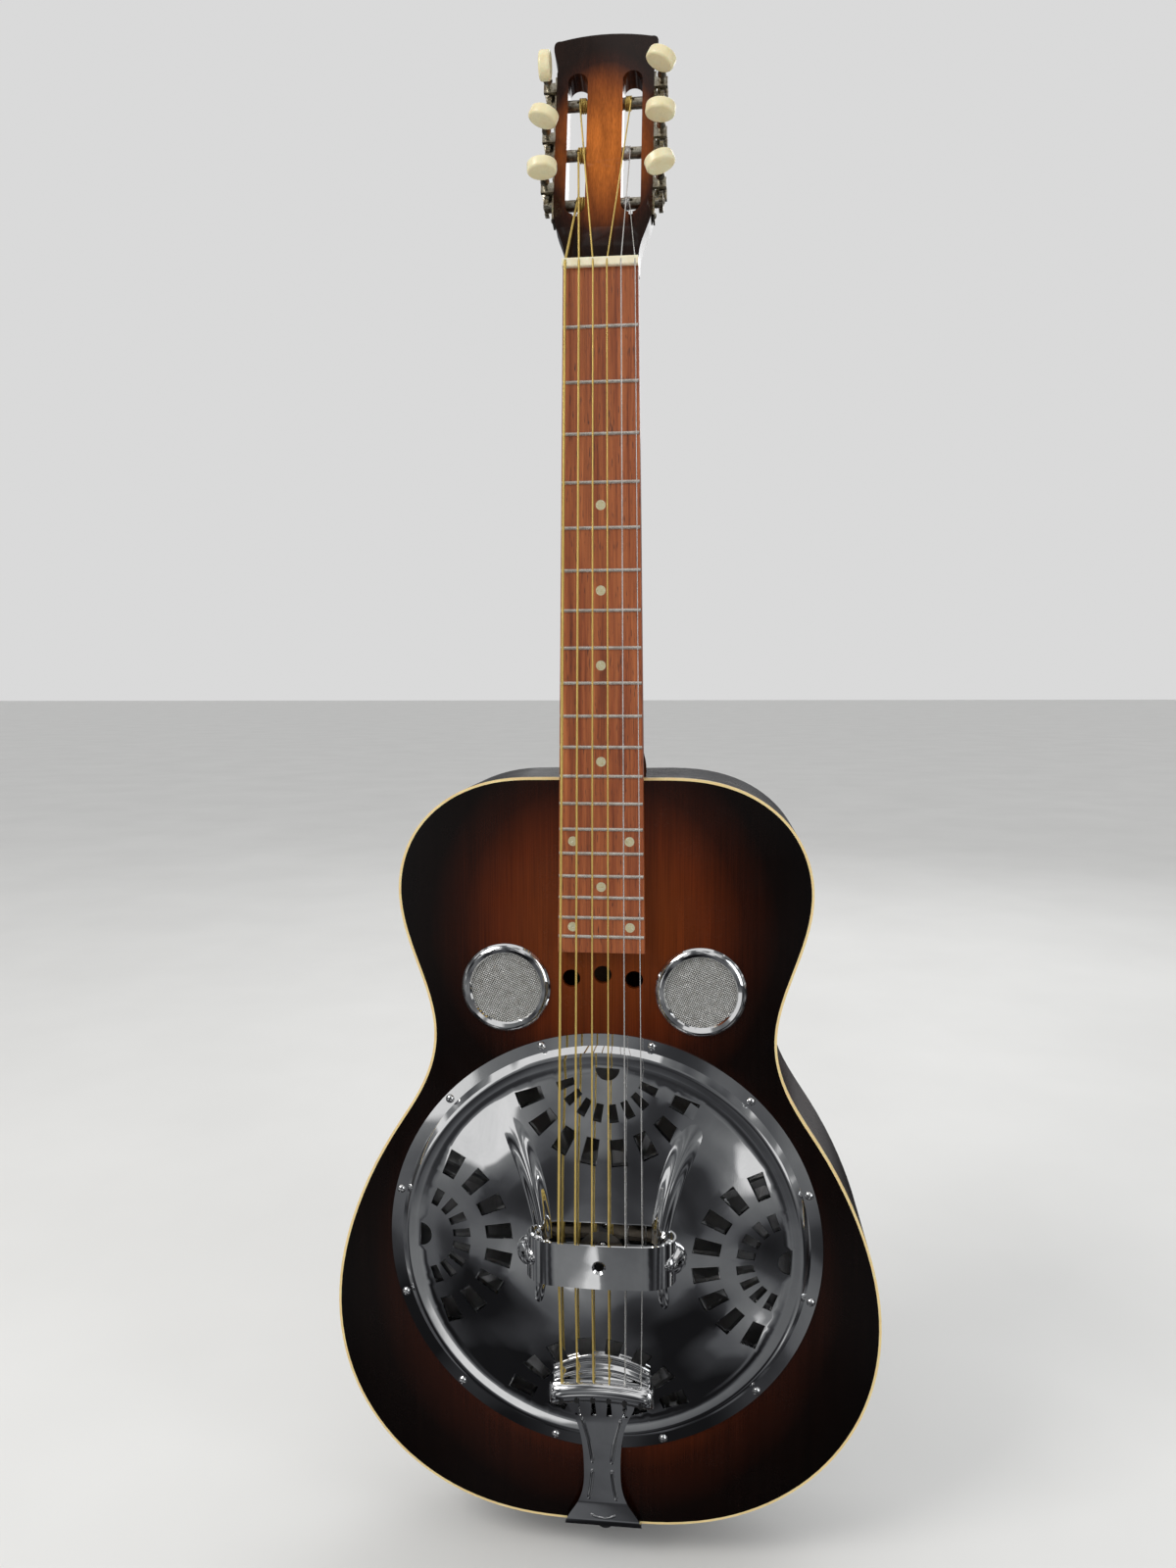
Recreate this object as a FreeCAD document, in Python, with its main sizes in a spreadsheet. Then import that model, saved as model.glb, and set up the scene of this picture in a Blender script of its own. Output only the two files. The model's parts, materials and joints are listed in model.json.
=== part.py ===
"""Resonator guitar: wooden body with a spider-bridge cone, coverplate, slotted headstock and six worm tuners.

Row frame, millimetres: +X to the treble side, +Y from the soundboard into the body, +Z up the neck.
The origin is in the neck at the nut, where a hanger's yoke holds it, and Y = 0 is the soundboard's face.
"""

import FreeCAD, Part
import math
import os

from FreeCAD import Placement, Rotation, Vector

DIMENSIONS = {
    "scale_length": 625.0, "nut_width": 46.2, "twelfth_width": 53.5, "board_length": 427.0,
    "board_thick": 6.5, "board_rise": 3.0, "fret_count": 19, "fret_width": 2.2, "fret_height": 1.1, "dot_radius": 3.1,
    "dot_depth": 1.5, "nut_thick": 5.5, "nut_height": 9.4, "neck_depth": 17.0,
    "body_depth": 82.0, "top_thick": 4.0, "back_thick": 4.0, "rib_thick": 3.0, "binding_width": 1.6,
    "lining_width": 6.0, "lining_height": 12.0, "block_half": 34.0, "block_length": 36.0,
    "cover_place": 629.0, "cover_radius": 145.5, "cover_thick": 1.0, "cover_turn": 1.7,
    "screw_circle": 141.8, "cover_screws": 12, "well_outer": 145.0, "well_inner": 135.5,
    "well_ledge": 126.0, "ledge_depth": 14.0, "well_hole": 19.0, "cone_radius": 133.3,
    "screen_place": 454.2, "screen_off": 64.3, "ring_radius": 29.6, "ring_inner": 23.2, "ring_height": 3.2,
    "screen_hole": 26.4, "port_radius": 5.9, "port_off": 20.7, "port_place": 447.0, "mid_port_place": 444.0,
    "head_tilt": 14.0, "head_thick": 15.0, "head_length": 158.0, "head_half": 31.0, "slot_off": 17.4,
    "slot_half": 6.2, "slot_low": 33.0, "slot_high": 131.0, "post_first": 44.0, "post_step": 35.0,
    "post_radius": 3.5, "post_depth": 7.5, "plate_thick": 1.2, "plate_half": 5.5, "gear_teeth": 14,
    "gear_pitch_radius": 5.6, "gear_outer": 6.2, "gear_root": 4.8, "gear_width": 2.6, "worm_pitch_radius": 2.9,
    "worm_outer": 3.5, "worm_root": 2.1, "worm_length": 9.4, "bearing_thick": 2.2, "shaft_radius": 1.6,
    "button_reach": 17.5, "button_length": 15.0, "button_half": 9.2, "button_thick": 7.2,
    "saddle_place": 628.0, "saddle_height": 21.0, "palm_height": 31.0, "palm_half": 49.0, "palm_length": 29.0,
    "tail_bar_place": 726.0, "tail_bar_height": 15.2, "tail_bar_radius": 4.5, "tail_bar_half": 34.0,
    "tail_thick": 1.5, "tail_flap": 26.0, "bottom_place": 829.5,
}
# half outline of the body, from the neck to the tail: (across, down from the nut)
HALF_OUTLINE = [
    (0, 314.0), (30, 314.2), (64, 315.3), (98, 326.0), (124, 349.5), (136, 386.0), (130, 424.0), (117.5, 461.0),
    (113.6, 488.0), (120.5, 518.0), (143, 556.0), (170, 610.0), (184, 670.0), (175, 736.0), (137, 791.0),
    (84, 821.0), (40, 829.0), (0, 829.5),
]
STRING_RADII = [0.28, 0.36, 0.46, 0.54, 0.66, 0.80]
FAN_ANGLES = [-66.5, -47.5, -28.5, -9.5, 9.5, 28.5, 47.5, 66.5]
FAN_ROWS = [(23.5, 35.5, 3.1), (46.5, 64.5, 5.6)]
FAN_CENTRE = 124.0
TUNERS = {1: (1, 0), 2: (1, 1), 3: (1, 2), 4: (-1, 2), 5: (-1, 1), 6: (-1, 0)}

doc = FreeCAD.newDocument("resonator_guitar")
sheet = doc.addObject("Spreadsheet::Sheet", "Sheet")
for row, (alias, value) in enumerate(DIMENSIONS.items(), start=1):
    sheet.set(f"A{row}", alias)
    sheet.set(f"B{row}", str(value))
    sheet.setAlias(f"B{row}", alias)
doc.recompute()
SUBPARTS = []


def dim(name):
    """A driving dimension, read from the sheet."""
    return float(getattr(sheet, name))


def bind(obj, **expressions):
    """Binds an object's sizes to expressions of the sheet's cells."""
    for prop, expression in expressions.items():
        text = expression
        for alias in sorted(DIMENSIONS, key=len, reverse=True):
            text = replace_word(text, alias)
        obj.setExpression(prop, text)
    return obj


def replace_word(text, alias):
    """Puts Sheet. before each whole word that is the alias."""
    out, i = "", 0
    while i < len(text):
        j = text.find(alias, i)
        if j < 0:
            return out + text[i:]
        before = text[j - 1] if j else " "
        after = text[j + len(alias)] if j + len(alias) < len(text) else " "
        whole = not (before.isalnum() or before in "_.") and not (after.isalnum() or after == "_")
        out += text[i:j] + ("Sheet." if whole else "") + alias
        i = j + len(alias)
    return out


def sub_part(obj, label):
    """Names an object as a sub-part that gets its own file."""
    obj.Label = label
    SUBPARTS.append(obj)
    return obj


def feature(label, shape):
    """A sub-part whose shape is set with Part's own functions."""
    return sub_part(tool(label, shape), label)


def tool(name, shape):
    """A helper shape in the document that isn't a sub-part."""
    obj = doc.addObject("Part::Feature", name)
    obj.Shape = shape
    return obj


def cylinder(name, centre, axis, **sizes):
    """A bound cylinder from a point along an axis."""
    obj = bind(doc.addObject("Part::Cylinder", name), **sizes)
    obj.Placement = Placement(Vector(*centre), Rotation(Vector(0, 0, 1), Vector(*axis)))
    return obj


def cut(name, base, tools):
    """Base less its tools, as a parametric boolean."""
    fused = tools[0]
    if len(tools) > 1:
        fused = doc.addObject("Part::MultiFuse", name + "_tools")
        fused.Shapes = tools
    obj = doc.addObject("Part::Cut", name)
    obj.Base, obj.Tool = base, fused
    return obj


def common(name, first, second):
    """What two objects share."""
    obj = doc.addObject("Part::Common", name)
    obj.Base, obj.Tool = first, second
    return obj


def box_between(low, high):
    """A plain box shape between two corners."""
    size = [b - a for a, b in zip(low, high)]
    return Part.makeBox(*size, Vector(*low))


def spline(points, periodic=False):
    """An interpolated curve through points."""
    curve = Part.BSplineCurve()
    curve.interpolate([Vector(*p) for p in points], PeriodicFlag=periodic)
    return curve


# ---- body outline -------------------------------------------------------------------------------


def outline_curve(inset=0.0):
    """The closed body outline in the soundboard's plane, moved in by inset."""
    half = HALF_OUTLINE
    loop = half + [(-x, down) for x, down in reversed(half[1:-1])]
    base = spline([(x, 0, -down) for x, down in loop], periodic=True)
    if not inset:
        return base
    first, last = base.FirstParameter, base.LastParameter
    count = 3 * len(loop)
    moved = []
    for i in range(count):
        u = first + (last - first) * i / count
        at, along = base.value(u), base.tangent(u)[0]
        inward = along.cross(Vector(0, 1, 0))
        moved.append(at - inward * inset)
    centre = Vector(0, 0, -dim("cover_place"))
    if (moved[0] - centre).Length > (base.value(first) - centre).Length:
        moved = [2 * base.value(first + (last - first) * i / count) - m for i, m in enumerate(moved)]
    return spline([tuple(m) for m in moved], periodic=True)


OUTLINES = {}


def outline_face(inset=0.0):
    """The face inside the outline, made once for each inset so that neighbours share their walls."""
    if inset not in OUTLINES:
        OUTLINES[inset] = Part.Face(Part.Wire([outline_curve(inset).toShape()]))
    return OUTLINES[inset]


def slab(name, inset, near, thick):
    """A slab of the body's outline: from depth near, thick deep, with the depth bound to the sheet."""
    face = outline_face(inset).copy()
    face.translate(Vector(0, near, 0))
    obj = doc.addObject("Part::Extrusion", name)
    obj.Base = tool(name + "_face", face)
    obj.DirMode = "Custom"
    obj.Dir = Vector(0, 1, 0)
    bind(obj, LengthFwd=thick)
    return obj


def down(x, place, depth=0.0):
    """A point given across, down from the nut and into the body."""
    return (x, depth, -place)


def make_body():
    """Soundboard, back, ribs, linings, blocks, binding and soundwell."""
    top, back, depth = dim("top_thick"), dim("back_thick"), dim("body_depth")
    rib, lining, margin = dim("rib_thick"), dim("lining_width"), 1.0
    centre = dim("cover_place")
    edge = dim("binding_width")
    ribs_deep = "body_depth - top_thick - back_thick"

    holes = [
        cylinder("well_opening", down(0, centre, -margin), (0, 1, 0), Radius="well_inner", Height="top_thick + 2"),
        cylinder("mid_port", down(0, dim("mid_port_place"), -margin), (0, 1, 0), Radius="port_radius",
                 Height="top_thick + 2"),
    ]
    for side in (-1, 1):
        holes.append(cylinder("port", down(side * dim("port_off"), dim("port_place"), -margin), (0, 1, 0),
                              Radius="port_radius", Height="top_thick + 2"))
        holes.append(cylinder("screen_opening", down(side * dim("screen_off"), dim("screen_place"), -margin),
                              (0, 1, 0), Radius="screen_hole", Height="top_thick + 2"))
    sub_part(cut("soundboard_cut", slab("top_slab", edge, 0, "top_thick"), holes), "soundboard")
    sub_part(cut("binding_cut", slab("binding_outer", 0, 0, "top_thick"),
                 [slab("binding_inner", edge, 0, "top_thick")]), "top_binding")
    sub_part(slab("back_slab", 0, depth - back, "back_thick"), "back")

    ring = cut("ribs_cut", slab("ribs_outer", 0, top, ribs_deep), [slab("ribs_inner", rib, top, ribs_deep)])
    far = 2 * dim("cover_radius")
    for side, label in ((-1, "side_bass"), (1, "side_treble")):
        half = box_between((min(0, side * far), 0, -1000), (max(0, side * far), depth, 0))
        sub_part(common(label + "_half", ring, tool(label + "_box", half)), label)

    blocks = []
    inner = slab("block_slab", rib, top, ribs_deep)
    for label, low, high in (("neck_block", 300.0, 317.0 + dim("block_length")), ("tail_block", 802.0, 840.0)):
        shape = box_between((-dim("block_half"), top, -high), (dim("block_half"), depth - back, -low))
        bounds = tool(label + "_box", shape)
        blocks.append(bounds)
        sub_part(common(label + "_common", inner, bounds), label)
    for label, near in (("lining_top", top), ("lining_back", depth - back - dim("lining_height"))):
        sub_part(cut(label + "_cut", slab(label + "_outer", rib, near, "lining_height"),
                     [slab(label + "_inner", rib + lining, near, "lining_height"), *blocks]), label)

    well = cylinder("well_body", down(0, centre, top), (0, 1, 0), Radius="well_outer", Height=ribs_deep)
    bores = [
        cylinder("well_bore", down(0, centre, top - margin), (0, 1, 0), Radius="well_ledge",
                 Height="body_depth"),
        cylinder("well_seat", down(0, centre, top - margin), (0, 1, 0), Radius="well_inner",
                 Height="ledge_depth - top_thick + 1"),
    ]
    count = 10
    for i in range(count):
        angle = 2 * math.pi * (i + 0.5) / count
        out = Vector(math.sin(angle), 0, math.cos(angle))
        start = Vector(*down(0, centre, depth * 0.56)) + out * 100
        bores.append(cylinder("well_window", tuple(start), tuple(out), Radius="well_hole", Height="60"))
    sub_part(cut("soundwell_cut", well, bores), "soundwell")

    stick = box_between((-13, 24, -(centre - 90)), (13, 54, -(317.0 + dim("block_length"))))
    drum = Part.makeCylinder(dim("well_outer"), depth, Vector(*down(0, centre)), Vector(0, 1, 0))
    feature("neck_stick", stick.cut(drum))


# ---- neck and headstock -------------------------------------------------------------------------


def board_half(place):
    """Half the fingerboard's width at a place along it."""
    growth = (dim("twelfth_width") - dim("nut_width")) / (dim("scale_length") / 2)
    return (dim("nut_width") + growth * place) / 2


def board_top(place):
    """How far the fingerboard's face stands in front of the soundboard's plane, at a place along it."""
    return dim("board_thick") + dim("board_rise") * place / dim("board_length")


def fret_place(n):
    """How far fret n is from the nut, in equal temperament."""
    return dim("scale_length") * (1 - 2 ** (-n / 12))


def neck_section(place, half, depth):
    """A D-shaped neck section: flat at the fingerboard, round at the back."""
    flat = Part.LineSegment(Vector(half, 0, -place), Vector(-half, 0, -place))
    belly = Part.BSplineCurve()
    belly.interpolate([
        Vector(-half, 0, -place), Vector(-half * 0.93, depth * 0.45, -place), Vector(-half * 0.6, depth * 0.86, -place),
        Vector(0, depth, -place), Vector(half * 0.6, depth * 0.86, -place), Vector(half * 0.93, depth * 0.45, -place),
        Vector(half, 0, -place),
    ])
    return Part.Wire([flat.toShape(), belly.toShape()])


def heel_section(depth, half, length, end):
    """A horizontal slice of the heel: straight at the body, rounded towards the nut."""
    nose = Part.BSplineCurve()
    nose.interpolate([
        Vector(-half, depth, -end), Vector(-half * 0.92, depth, -(end - length * 0.55)), Vector(0, depth, -(end - length)),
        Vector(half * 0.92, depth, -(end - length * 0.55)), Vector(half, depth, -end),
    ])
    flat = Part.LineSegment(Vector(half, depth, -end), Vector(-half, depth, -end))
    return Part.Wire([nose.toShape(), flat.toShape()])


def head_placement():
    """Carries the flat headstock, drawn with its face up at Y = 0 and its foot at Z = 0, to its tilted place."""
    foot = Vector(0, 0, dim("nut_thick"))
    return Placement(foot, Rotation(Vector(1, 0, 0), -dim("head_tilt")))


def head_slab():
    """The headstock's blank with its flare, waisted sides and arched top, less the two slots and the post bores."""
    half, length, thick = dim("head_half"), dim("head_length"), dim("head_thick")
    narrow = board_half(0)
    right = spline([(narrow, 0, 4), (narrow + 1.6, 0, 13), (half - 1.2, 0, 28), (half, 0, 38)])
    edges = [
        Part.LineSegment(Vector(-narrow, 0, -9), Vector(narrow, 0, -9)),
        Part.LineSegment(Vector(narrow, 0, -9), Vector(narrow, 0, 4)),
        right,
        Part.LineSegment(Vector(half, 0, 38), Vector(half, 0, 132)),
        spline([(half, 0, 132), (half + 0.8, 0, 142), (half + 2.4, 0, 150), (half + 1.6, 0, 153.5), (half - 2, 0, 154.8)]),
        Part.Arc(Vector(half - 2, 0, 154.8), Vector(0, 0, length), Vector(-half + 2, 0, 154.8)),
        spline([(-half + 2, 0, 154.8), (-half - 1.6, 0, 153.5), (-half - 2.4, 0, 150), (-half - 0.8, 0, 142),
                (-half, 0, 132)]),
        Part.LineSegment(Vector(-half, 0, 132), Vector(-half, 0, 38)),
        spline([(-half, 0, 38), (-half + 1.2, 0, 28), (-narrow - 1.6, 0, 13), (-narrow, 0, 4)]),
        Part.LineSegment(Vector(-narrow, 0, 4), Vector(-narrow, 0, -9)),
    ]
    blank = Part.Face(Part.Wire([e.toShape() for e in edges])).extrude(Vector(0, thick, 0))
    wide = dim("slot_half")
    for side in (-1, 1):
        off = side * dim("slot_off")
        slot = box_between((off - wide, -1, dim("slot_low") + wide), (off + wide, thick + 1, dim("slot_high") - wide))
        for end in (dim("slot_low") + wide, dim("slot_high") - wide):
            slot = slot.fuse(Part.makeCylinder(wide, thick + 2, Vector(off, -1, end), Vector(0, 1, 0)))
        blank = blank.cut(slot)
        for _, row in (t for t in TUNERS.values() if t[0] == side):
            at = Vector(side * POST_INNER, dim("post_depth"), post_place(row))
            bore = Part.makeCylinder(dim("post_radius") + 0.06, 40, at, Vector(side, 0, 0))
            blank = blank.cut(bore)
    return blank


POST_INNER = 6.0
WORM_PHASE = -90.0
BUTTON_TURNS = {1: 20.0, 2: -5.0, 3: -25.0, 4: 90.0, 5: -18.0, 6: 2.0}


def post_place(row):
    """How far up the headstock a row of posts is."""
    return dim("post_first") + row * dim("post_step")


def make_neck():
    """Neck with heel and headstock, fingerboard, frets, dots and nut."""
    joint = 320.0
    shaft = Part.makeLoft([
        neck_section(-1.0, board_half(0), dim("neck_depth")),
        neck_section(150.0, board_half(150), dim("neck_depth") + 1.6),
        neck_section(joint, board_half(joint), dim("neck_depth") + 3.4),
    ], True)
    heel_top, heel_foot = 8.0, dim("body_depth") - 2.5
    heel = Part.makeLoft([
        heel_section(heel_top, board_half(joint) - 1.0, 52.0, joint),
        heel_section(24.0, board_half(joint) - 4.5, 33.0, joint),
        heel_section(50.0, board_half(joint) - 10.0, 23.0, joint),
        heel_section(heel_foot, board_half(joint) - 14.5, 20.0, joint),
    ], True)
    body = outline_face().extrude(Vector(0, dim("body_depth"), 0))
    head = head_slab()
    head.Placement = head_placement()
    front = box_between((-80, -40, -400), (80, 0, dim("nut_thick")))
    foot_low = box_between((-80, -40, -40), (80, 60, -1.0))
    rounded = neck_section(-dim("nut_thick"), board_half(0), dim("neck_depth") + 1.5)
    bridge = Part.makeLoft([neck_section(1.0, board_half(0), dim("neck_depth")), rounded], True)
    ramps = [rod(string_point(n, "nut"), string_end(n), 1.5) for n in TUNERS]
    neck = shaft.fuse([heel.cut(body), bridge, head.cut(front).cut(foot_low)]).cut([body, *ramps])
    feature("neck", neck.removeSplitter())

    length = dim("board_length")
    sections = []
    for place in (0, length):
        half, top = board_half(place), board_top(place)
        corners = [Vector(x, y, -place) for x, y in ((-half, 0), (half, 0), (half, -top), (-half, -top))]
        sections.append(Part.makePolygon([*corners, corners[0]]))
    board = Part.makeLoft(sections, True)
    dots, seats = [], []
    for n, off in ((5, 0), (7, 0), (9, 0), (12, 0), (15, 18.2), (17, 0), (19, 18.6)):
        middle = (fret_place(n - 1) + fret_place(n)) / 2
        for x in {off, -off}:
            at = Vector(*down(x, middle, -board_top(middle)))
            dots.append(Part.makeCylinder(dim("dot_radius"), dim("dot_depth"), at, Vector(0, 1, 0)))
            mouth = at - Vector(0, 0.5, 0)
            seats.append(Part.makeCylinder(dim("dot_radius"), dim("dot_depth") + 0.5, mouth, Vector(0, 1, 0)))
    feature("fingerboard", board.cut(seats))
    feature("position_dots", Part.makeCompound(dots))

    frets = []
    crown, wide = dim("fret_height"), dim("fret_width") / 2
    for n in range(1, int(dim("fret_count")) + 1):
        place = fret_place(n)
        half = board_half(place) - 0.3
        start = Vector(-half, -board_top(place) - 0.012, -place)
        arc = Part.Arc(start + Vector(0, 0, wide), start + Vector(0, -crown, 0), start + Vector(0, 0, -wide))
        base = Part.LineSegment(start + Vector(0, 0, -wide), start + Vector(0, 0, wide))
        profile = Part.Face(Part.Wire([arc.toShape(), base.toShape()]))
        frets.append(profile.extrude(Vector(2 * half, 0, 0)))
    feature("frets", Part.makeCompound(frets))

    nut = box_between((-board_half(0) - 0.2, -dim("nut_height"), 0), (board_half(0) + 0.2, 0, dim("nut_thick")))
    brow = -dim("nut_height") + 0.1
    long_edges = [e for e in nut.Edges if e.Length > 40 and all(v.Point.y < brow for v in e.Vertexes)]
    nut = nut.makeFillet(1.2, long_edges)
    slots = []
    for n in TUNERS:
        middle, room = string_point(n, "nut"), STRING_RADII[n - 1] + 0.1
        slots += [rod(middle, string_end(n), room), rod(middle, string_point(n, "saddle"), room)]
        slots.append(Part.makeSphere(room * 1.02, middle))
    feature("nut", nut.cut(slots))


# ---- strings ------------------------------------------------------------------------------------


def string_across(n, narrow, wide=None):
    """Where string n lies across, for a spread of the outer strings."""
    return narrow * (3.5 - n) / 2.5


def string_point(n, place):
    """A string's centre where it bears: in the nut, over the saddle and in the tailpiece's bar."""
    if place == "nut":
        return Vector(string_across(n, 21.4), -dim("nut_height") + 0.1, dim("nut_thick") / 2)
    if place == "saddle":
        return Vector(string_across(n, 27.5), -dim("saddle_height") - STRING_RADII[n - 1], -dim("saddle_place"))
    return Vector(string_across(n, 26.5), -dim("tail_bar_height"), -dim("tail_bar_place"))


def on_head(x, depth, up):
    """A headstock point in the row frame."""
    return head_placement().multVec(Vector(x, depth, up))


def string_end(n):
    """Where string n meets its post: on the side towards the viewer, just clear of the post."""
    side, row = TUNERS[n]
    gap = dim("post_radius") + STRING_RADII[n - 1] + 0.15
    return on_head(side * (dim("slot_off") - 1.0), dim("post_depth") - gap, post_place(row) - 1.0)


def rod(a, b, radius):
    """A round rod between two points."""
    return Part.makeCylinder(radius, (b - a).Length, a, b - a)


def make_strings():
    """Six strings, each with its run from post to tailpiece and its ball end."""
    for n in TUNERS:
        radius = STRING_RADII[n - 1]
        points = [string_end(n), string_point(n, "nut"), string_point(n, "saddle"), string_point(n, "tail")]
        direction = (points[3] - points[2]).normalize()
        points[3] = points[3] + direction * 1.6
        runs = [rod(points[i], points[i + 1], radius) for i in range(3)]
        corners = [Part.makeSphere(radius * 1.08, points[i]) for i in (1, 2)]
        shape = runs[0].fuse(runs[1:] + corners)
        ball = Part.makeSphere(1.9, points[3] + direction * 1.4)
        feature(f"string_{n}", shape.fuse(ball))


# ---- resonator ----------------------------------------------------------------------------------


def revolve_about_cover(points):
    """Turns a closed (radius, depth) profile about the cover's axis."""
    centre = Vector(*down(0, dim("cover_place")))
    ring = [centre + Vector(r, depth, 0) for r, depth in points]
    face = Part.Face(Part.makePolygon([*ring, ring[0]]))
    return face.revolve(centre, Vector(0, 1, 0), 360)


def cover_profile():
    """The coverplate's outer line from its edge to its middle, as (radius, depth)."""
    radius = dim("cover_radius")
    return [
        (radius, 0.0), (radius, -1.0), (137.5, -1.6), (134.0, -5.6), (130.5, -6.2), (127.0, -5.4), (112.0, -7.6),
        (90.0, -10.2), (65.0, -12.4), (40.0, -13.7), (20.0, -14.3), (0.0, -14.5),
    ]


def fan_cutters():
    """The four fans of slots in the coverplate, with a half-round hole at the root of each."""
    centre = Vector(*down(0, dim("cover_place")))
    cutters = []
    for quarter in range(4):
        turn = Rotation(Vector(0, 1, 0), 90 * quarter + dim("cover_turn"))
        root = Vector(0, -40, FAN_CENTRE)
        for angle in FAN_ANGLES:
            swing = Rotation(Vector(0, 1, 0), angle)
            for near, far, half in FAN_ROWS:
                slim = half * near / far + 0.35
                corners = [(-slim, -near), (slim, -near), (half, -far), (-half, -far)]
                ring = [centre + turn.multVec(root + swing.multVec(Vector(x, 0, z))) for x, z in corners]
                cutters.append(Part.Face(Part.makePolygon([*ring, ring[0]])).extrude(Vector(0, 60, 0)))
        ends = [Vector(-8, -40, FAN_CENTRE), Vector(0, -40, FAN_CENTRE - 8), Vector(8, -40, FAN_CENTRE)]
        ends = [centre + turn.multVec(v) for v in ends]
        dee = Part.Wire([Part.Arc(*ends).toShape(), Part.LineSegment(ends[2], ends[0]).toShape()])
        cutters.append(Part.Face(dee).extrude(Vector(0, 60, 0)))
    return cutters


def screw(at, axis, head_radius, head_height, shank_radius, shank_length):
    """A round-head screw: its head stands out along axis, its shank goes the other way."""
    out = Vector(*axis)
    sphere_radius = (head_radius ** 2 + head_height ** 2) / (2 * head_height)
    ball = Part.makeSphere(sphere_radius, at + out * (head_height - sphere_radius))
    keep = Part.makeCylinder(head_radius, head_height, at, out)
    head = ball.common(keep)
    width = head_radius * 0.22
    across = out.cross(Vector(0.31, 0.2, 0.93)).normalize()
    for way in (across, out.cross(across)):
        bar = Part.makeBox(2 * head_radius * 0.62, width, head_height)
        bar.translate(Vector(-head_radius * 0.62, -width / 2, 0))
        bar.Placement = Placement(at + out * head_height * 0.55, Rotation(way, out.cross(way), out, "XZY")) \
            .multiply(Placement(Vector(-head_radius * 0.62, -width / 2, 0), Rotation()))
        head = head.cut(bar)
    shank = Part.makeCylinder(shank_radius, shank_length, at, out * -1)
    return head.fuse(shank)


def make_resonator():
    """Cone, spider, saddles, tension screw, coverplate, its screws and the palm rest."""
    centre = Vector(*down(0, dim("cover_place")))
    seat = dim("ledge_depth")
    wall = 0.8
    over = [(dim("cone_radius"), seat - wall), (125.2, seat - wall), (58.0, 43.0), (46.0, 44.0), (9.0, 27.0), (1.7, 26.0)]
    under = [(1.7, 27.0), (8.9, 28.0), (45.8, 45.1), (58.2, 44.0), (125.6, seat), (dim("cone_radius"), seat)]
    feature("cone", revolve_about_cover(over + under))

    hub_top, hub_low, leg_seat = -3.0, 12.0, seat - wall
    spider = Part.makeCylinder(13.0, hub_low - hub_top, centre + Vector(0, hub_top, 0), Vector(0, 1, 0))
    bar = box_between((-32, hub_top, -dim("cover_place") - 4), (32, hub_top + 8, -dim("cover_place") + 4))
    spider = spider.fuse(bar)
    for i in range(8):
        side = [(8, 3.0), (60, 5.0), (125.5, 9.4), (125.5, leg_seat), (121.0, leg_seat), (60, 9.5), (8, 11.0)]
        ring = [Vector(r, depth, -2.4) for r, depth in side]
        leg = Part.Face(Part.makePolygon([*ring, ring[0]])).extrude(Vector(0, 0, 4.8))
        leg.Placement = Placement(centre, Rotation(Vector(0, 1, 0), 22.5 + 45 * i))
        spider = spider.fuse(leg)
    groove = box_between((-31, hub_top - 1, -dim("saddle_place") - 1.5), (31, hub_top + 3, -dim("saddle_place") + 1.5))
    bore = Part.makeCylinder(2.1, 60, centre + Vector(0, -20, 0), Vector(0, 1, 0))
    feature("spider", spider.cut([groove, bore]))

    saddles = []
    for side in (-1, 1):
        low, high = sorted((side * 4.0, side * 31))
        piece = box_between((low, -dim("saddle_height") - 0.1, -dim("saddle_place") - 1.5),
                            (high, hub_top + 3, -dim("saddle_place") + 1.5))
        saddles.append(piece)
    grooves = [rod(string_point(n, "saddle") + Vector(0, 0, 3), string_point(n, "saddle") - Vector(0, 0, 3),
                   STRING_RADII[n - 1] + 0.12) for n in TUNERS]
    sweep = [rod(string_point(n, "nut"), string_point(n, "saddle"), STRING_RADII[n - 1] + 0.05) for n in TUNERS]
    sweep += [rod(string_point(n, "saddle"), string_point(n, "tail"), STRING_RADII[n - 1] + 0.05) for n in TUNERS]
    feature("saddles", Part.makeCompound([s.cut(grooves + sweep) for s in saddles]))
    feature("tension_screw", screw(centre + Vector(0, hub_top, 0), (0, -1, 0), 3.4, 2.0, 1.6, 32.0))

    outer = cover_profile()
    thick = dim("cover_thick")
    inner = [(r, depth + thick) for r, depth in outer[2:]]
    inner = [(136.9, 0.0), (133.4, -4.4), (130.3, -5.1), (126.9, -4.3)] + inner[4:]
    plate = revolve_about_cover(outer + list(reversed(inner)))
    spots = []
    for i in range(int(dim("cover_screws"))):
        angle = math.radians(360 * (i + 0.5) / dim("cover_screws") - dim("cover_turn"))
        spots.append(centre + dim("screw_circle") * Vector(math.sin(angle), 0, math.cos(angle)))
    slab_holes = [Part.makeCylinder(1.45, 8, s + Vector(0, -4, 0), Vector(0, 1, 0)) for s in spots]
    access = Part.makeCylinder(16.0, 40, centre + Vector(0, -30, 0), Vector(0, 1, 0))
    window = box_between((-33, -40, -dim("cover_place") - 7), (33, 0, -dim("cover_place") + 7))
    feature("coverplate", plate.cut(fan_cutters() + slab_holes + [access.fuse(window)]))
    screws = [screw(s + Vector(0, -1.56, 0), (0, -1, 0), 2.9, 1.9, 1.4, 14.0) for s in spots]
    holes = [Part.makeCylinder(1.42, 20, s + Vector(0, -2, 0), Vector(0, 1, 0)) for s in spots]
    feature("cover_screws", Part.makeCompound(screws))
    return holes


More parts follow.
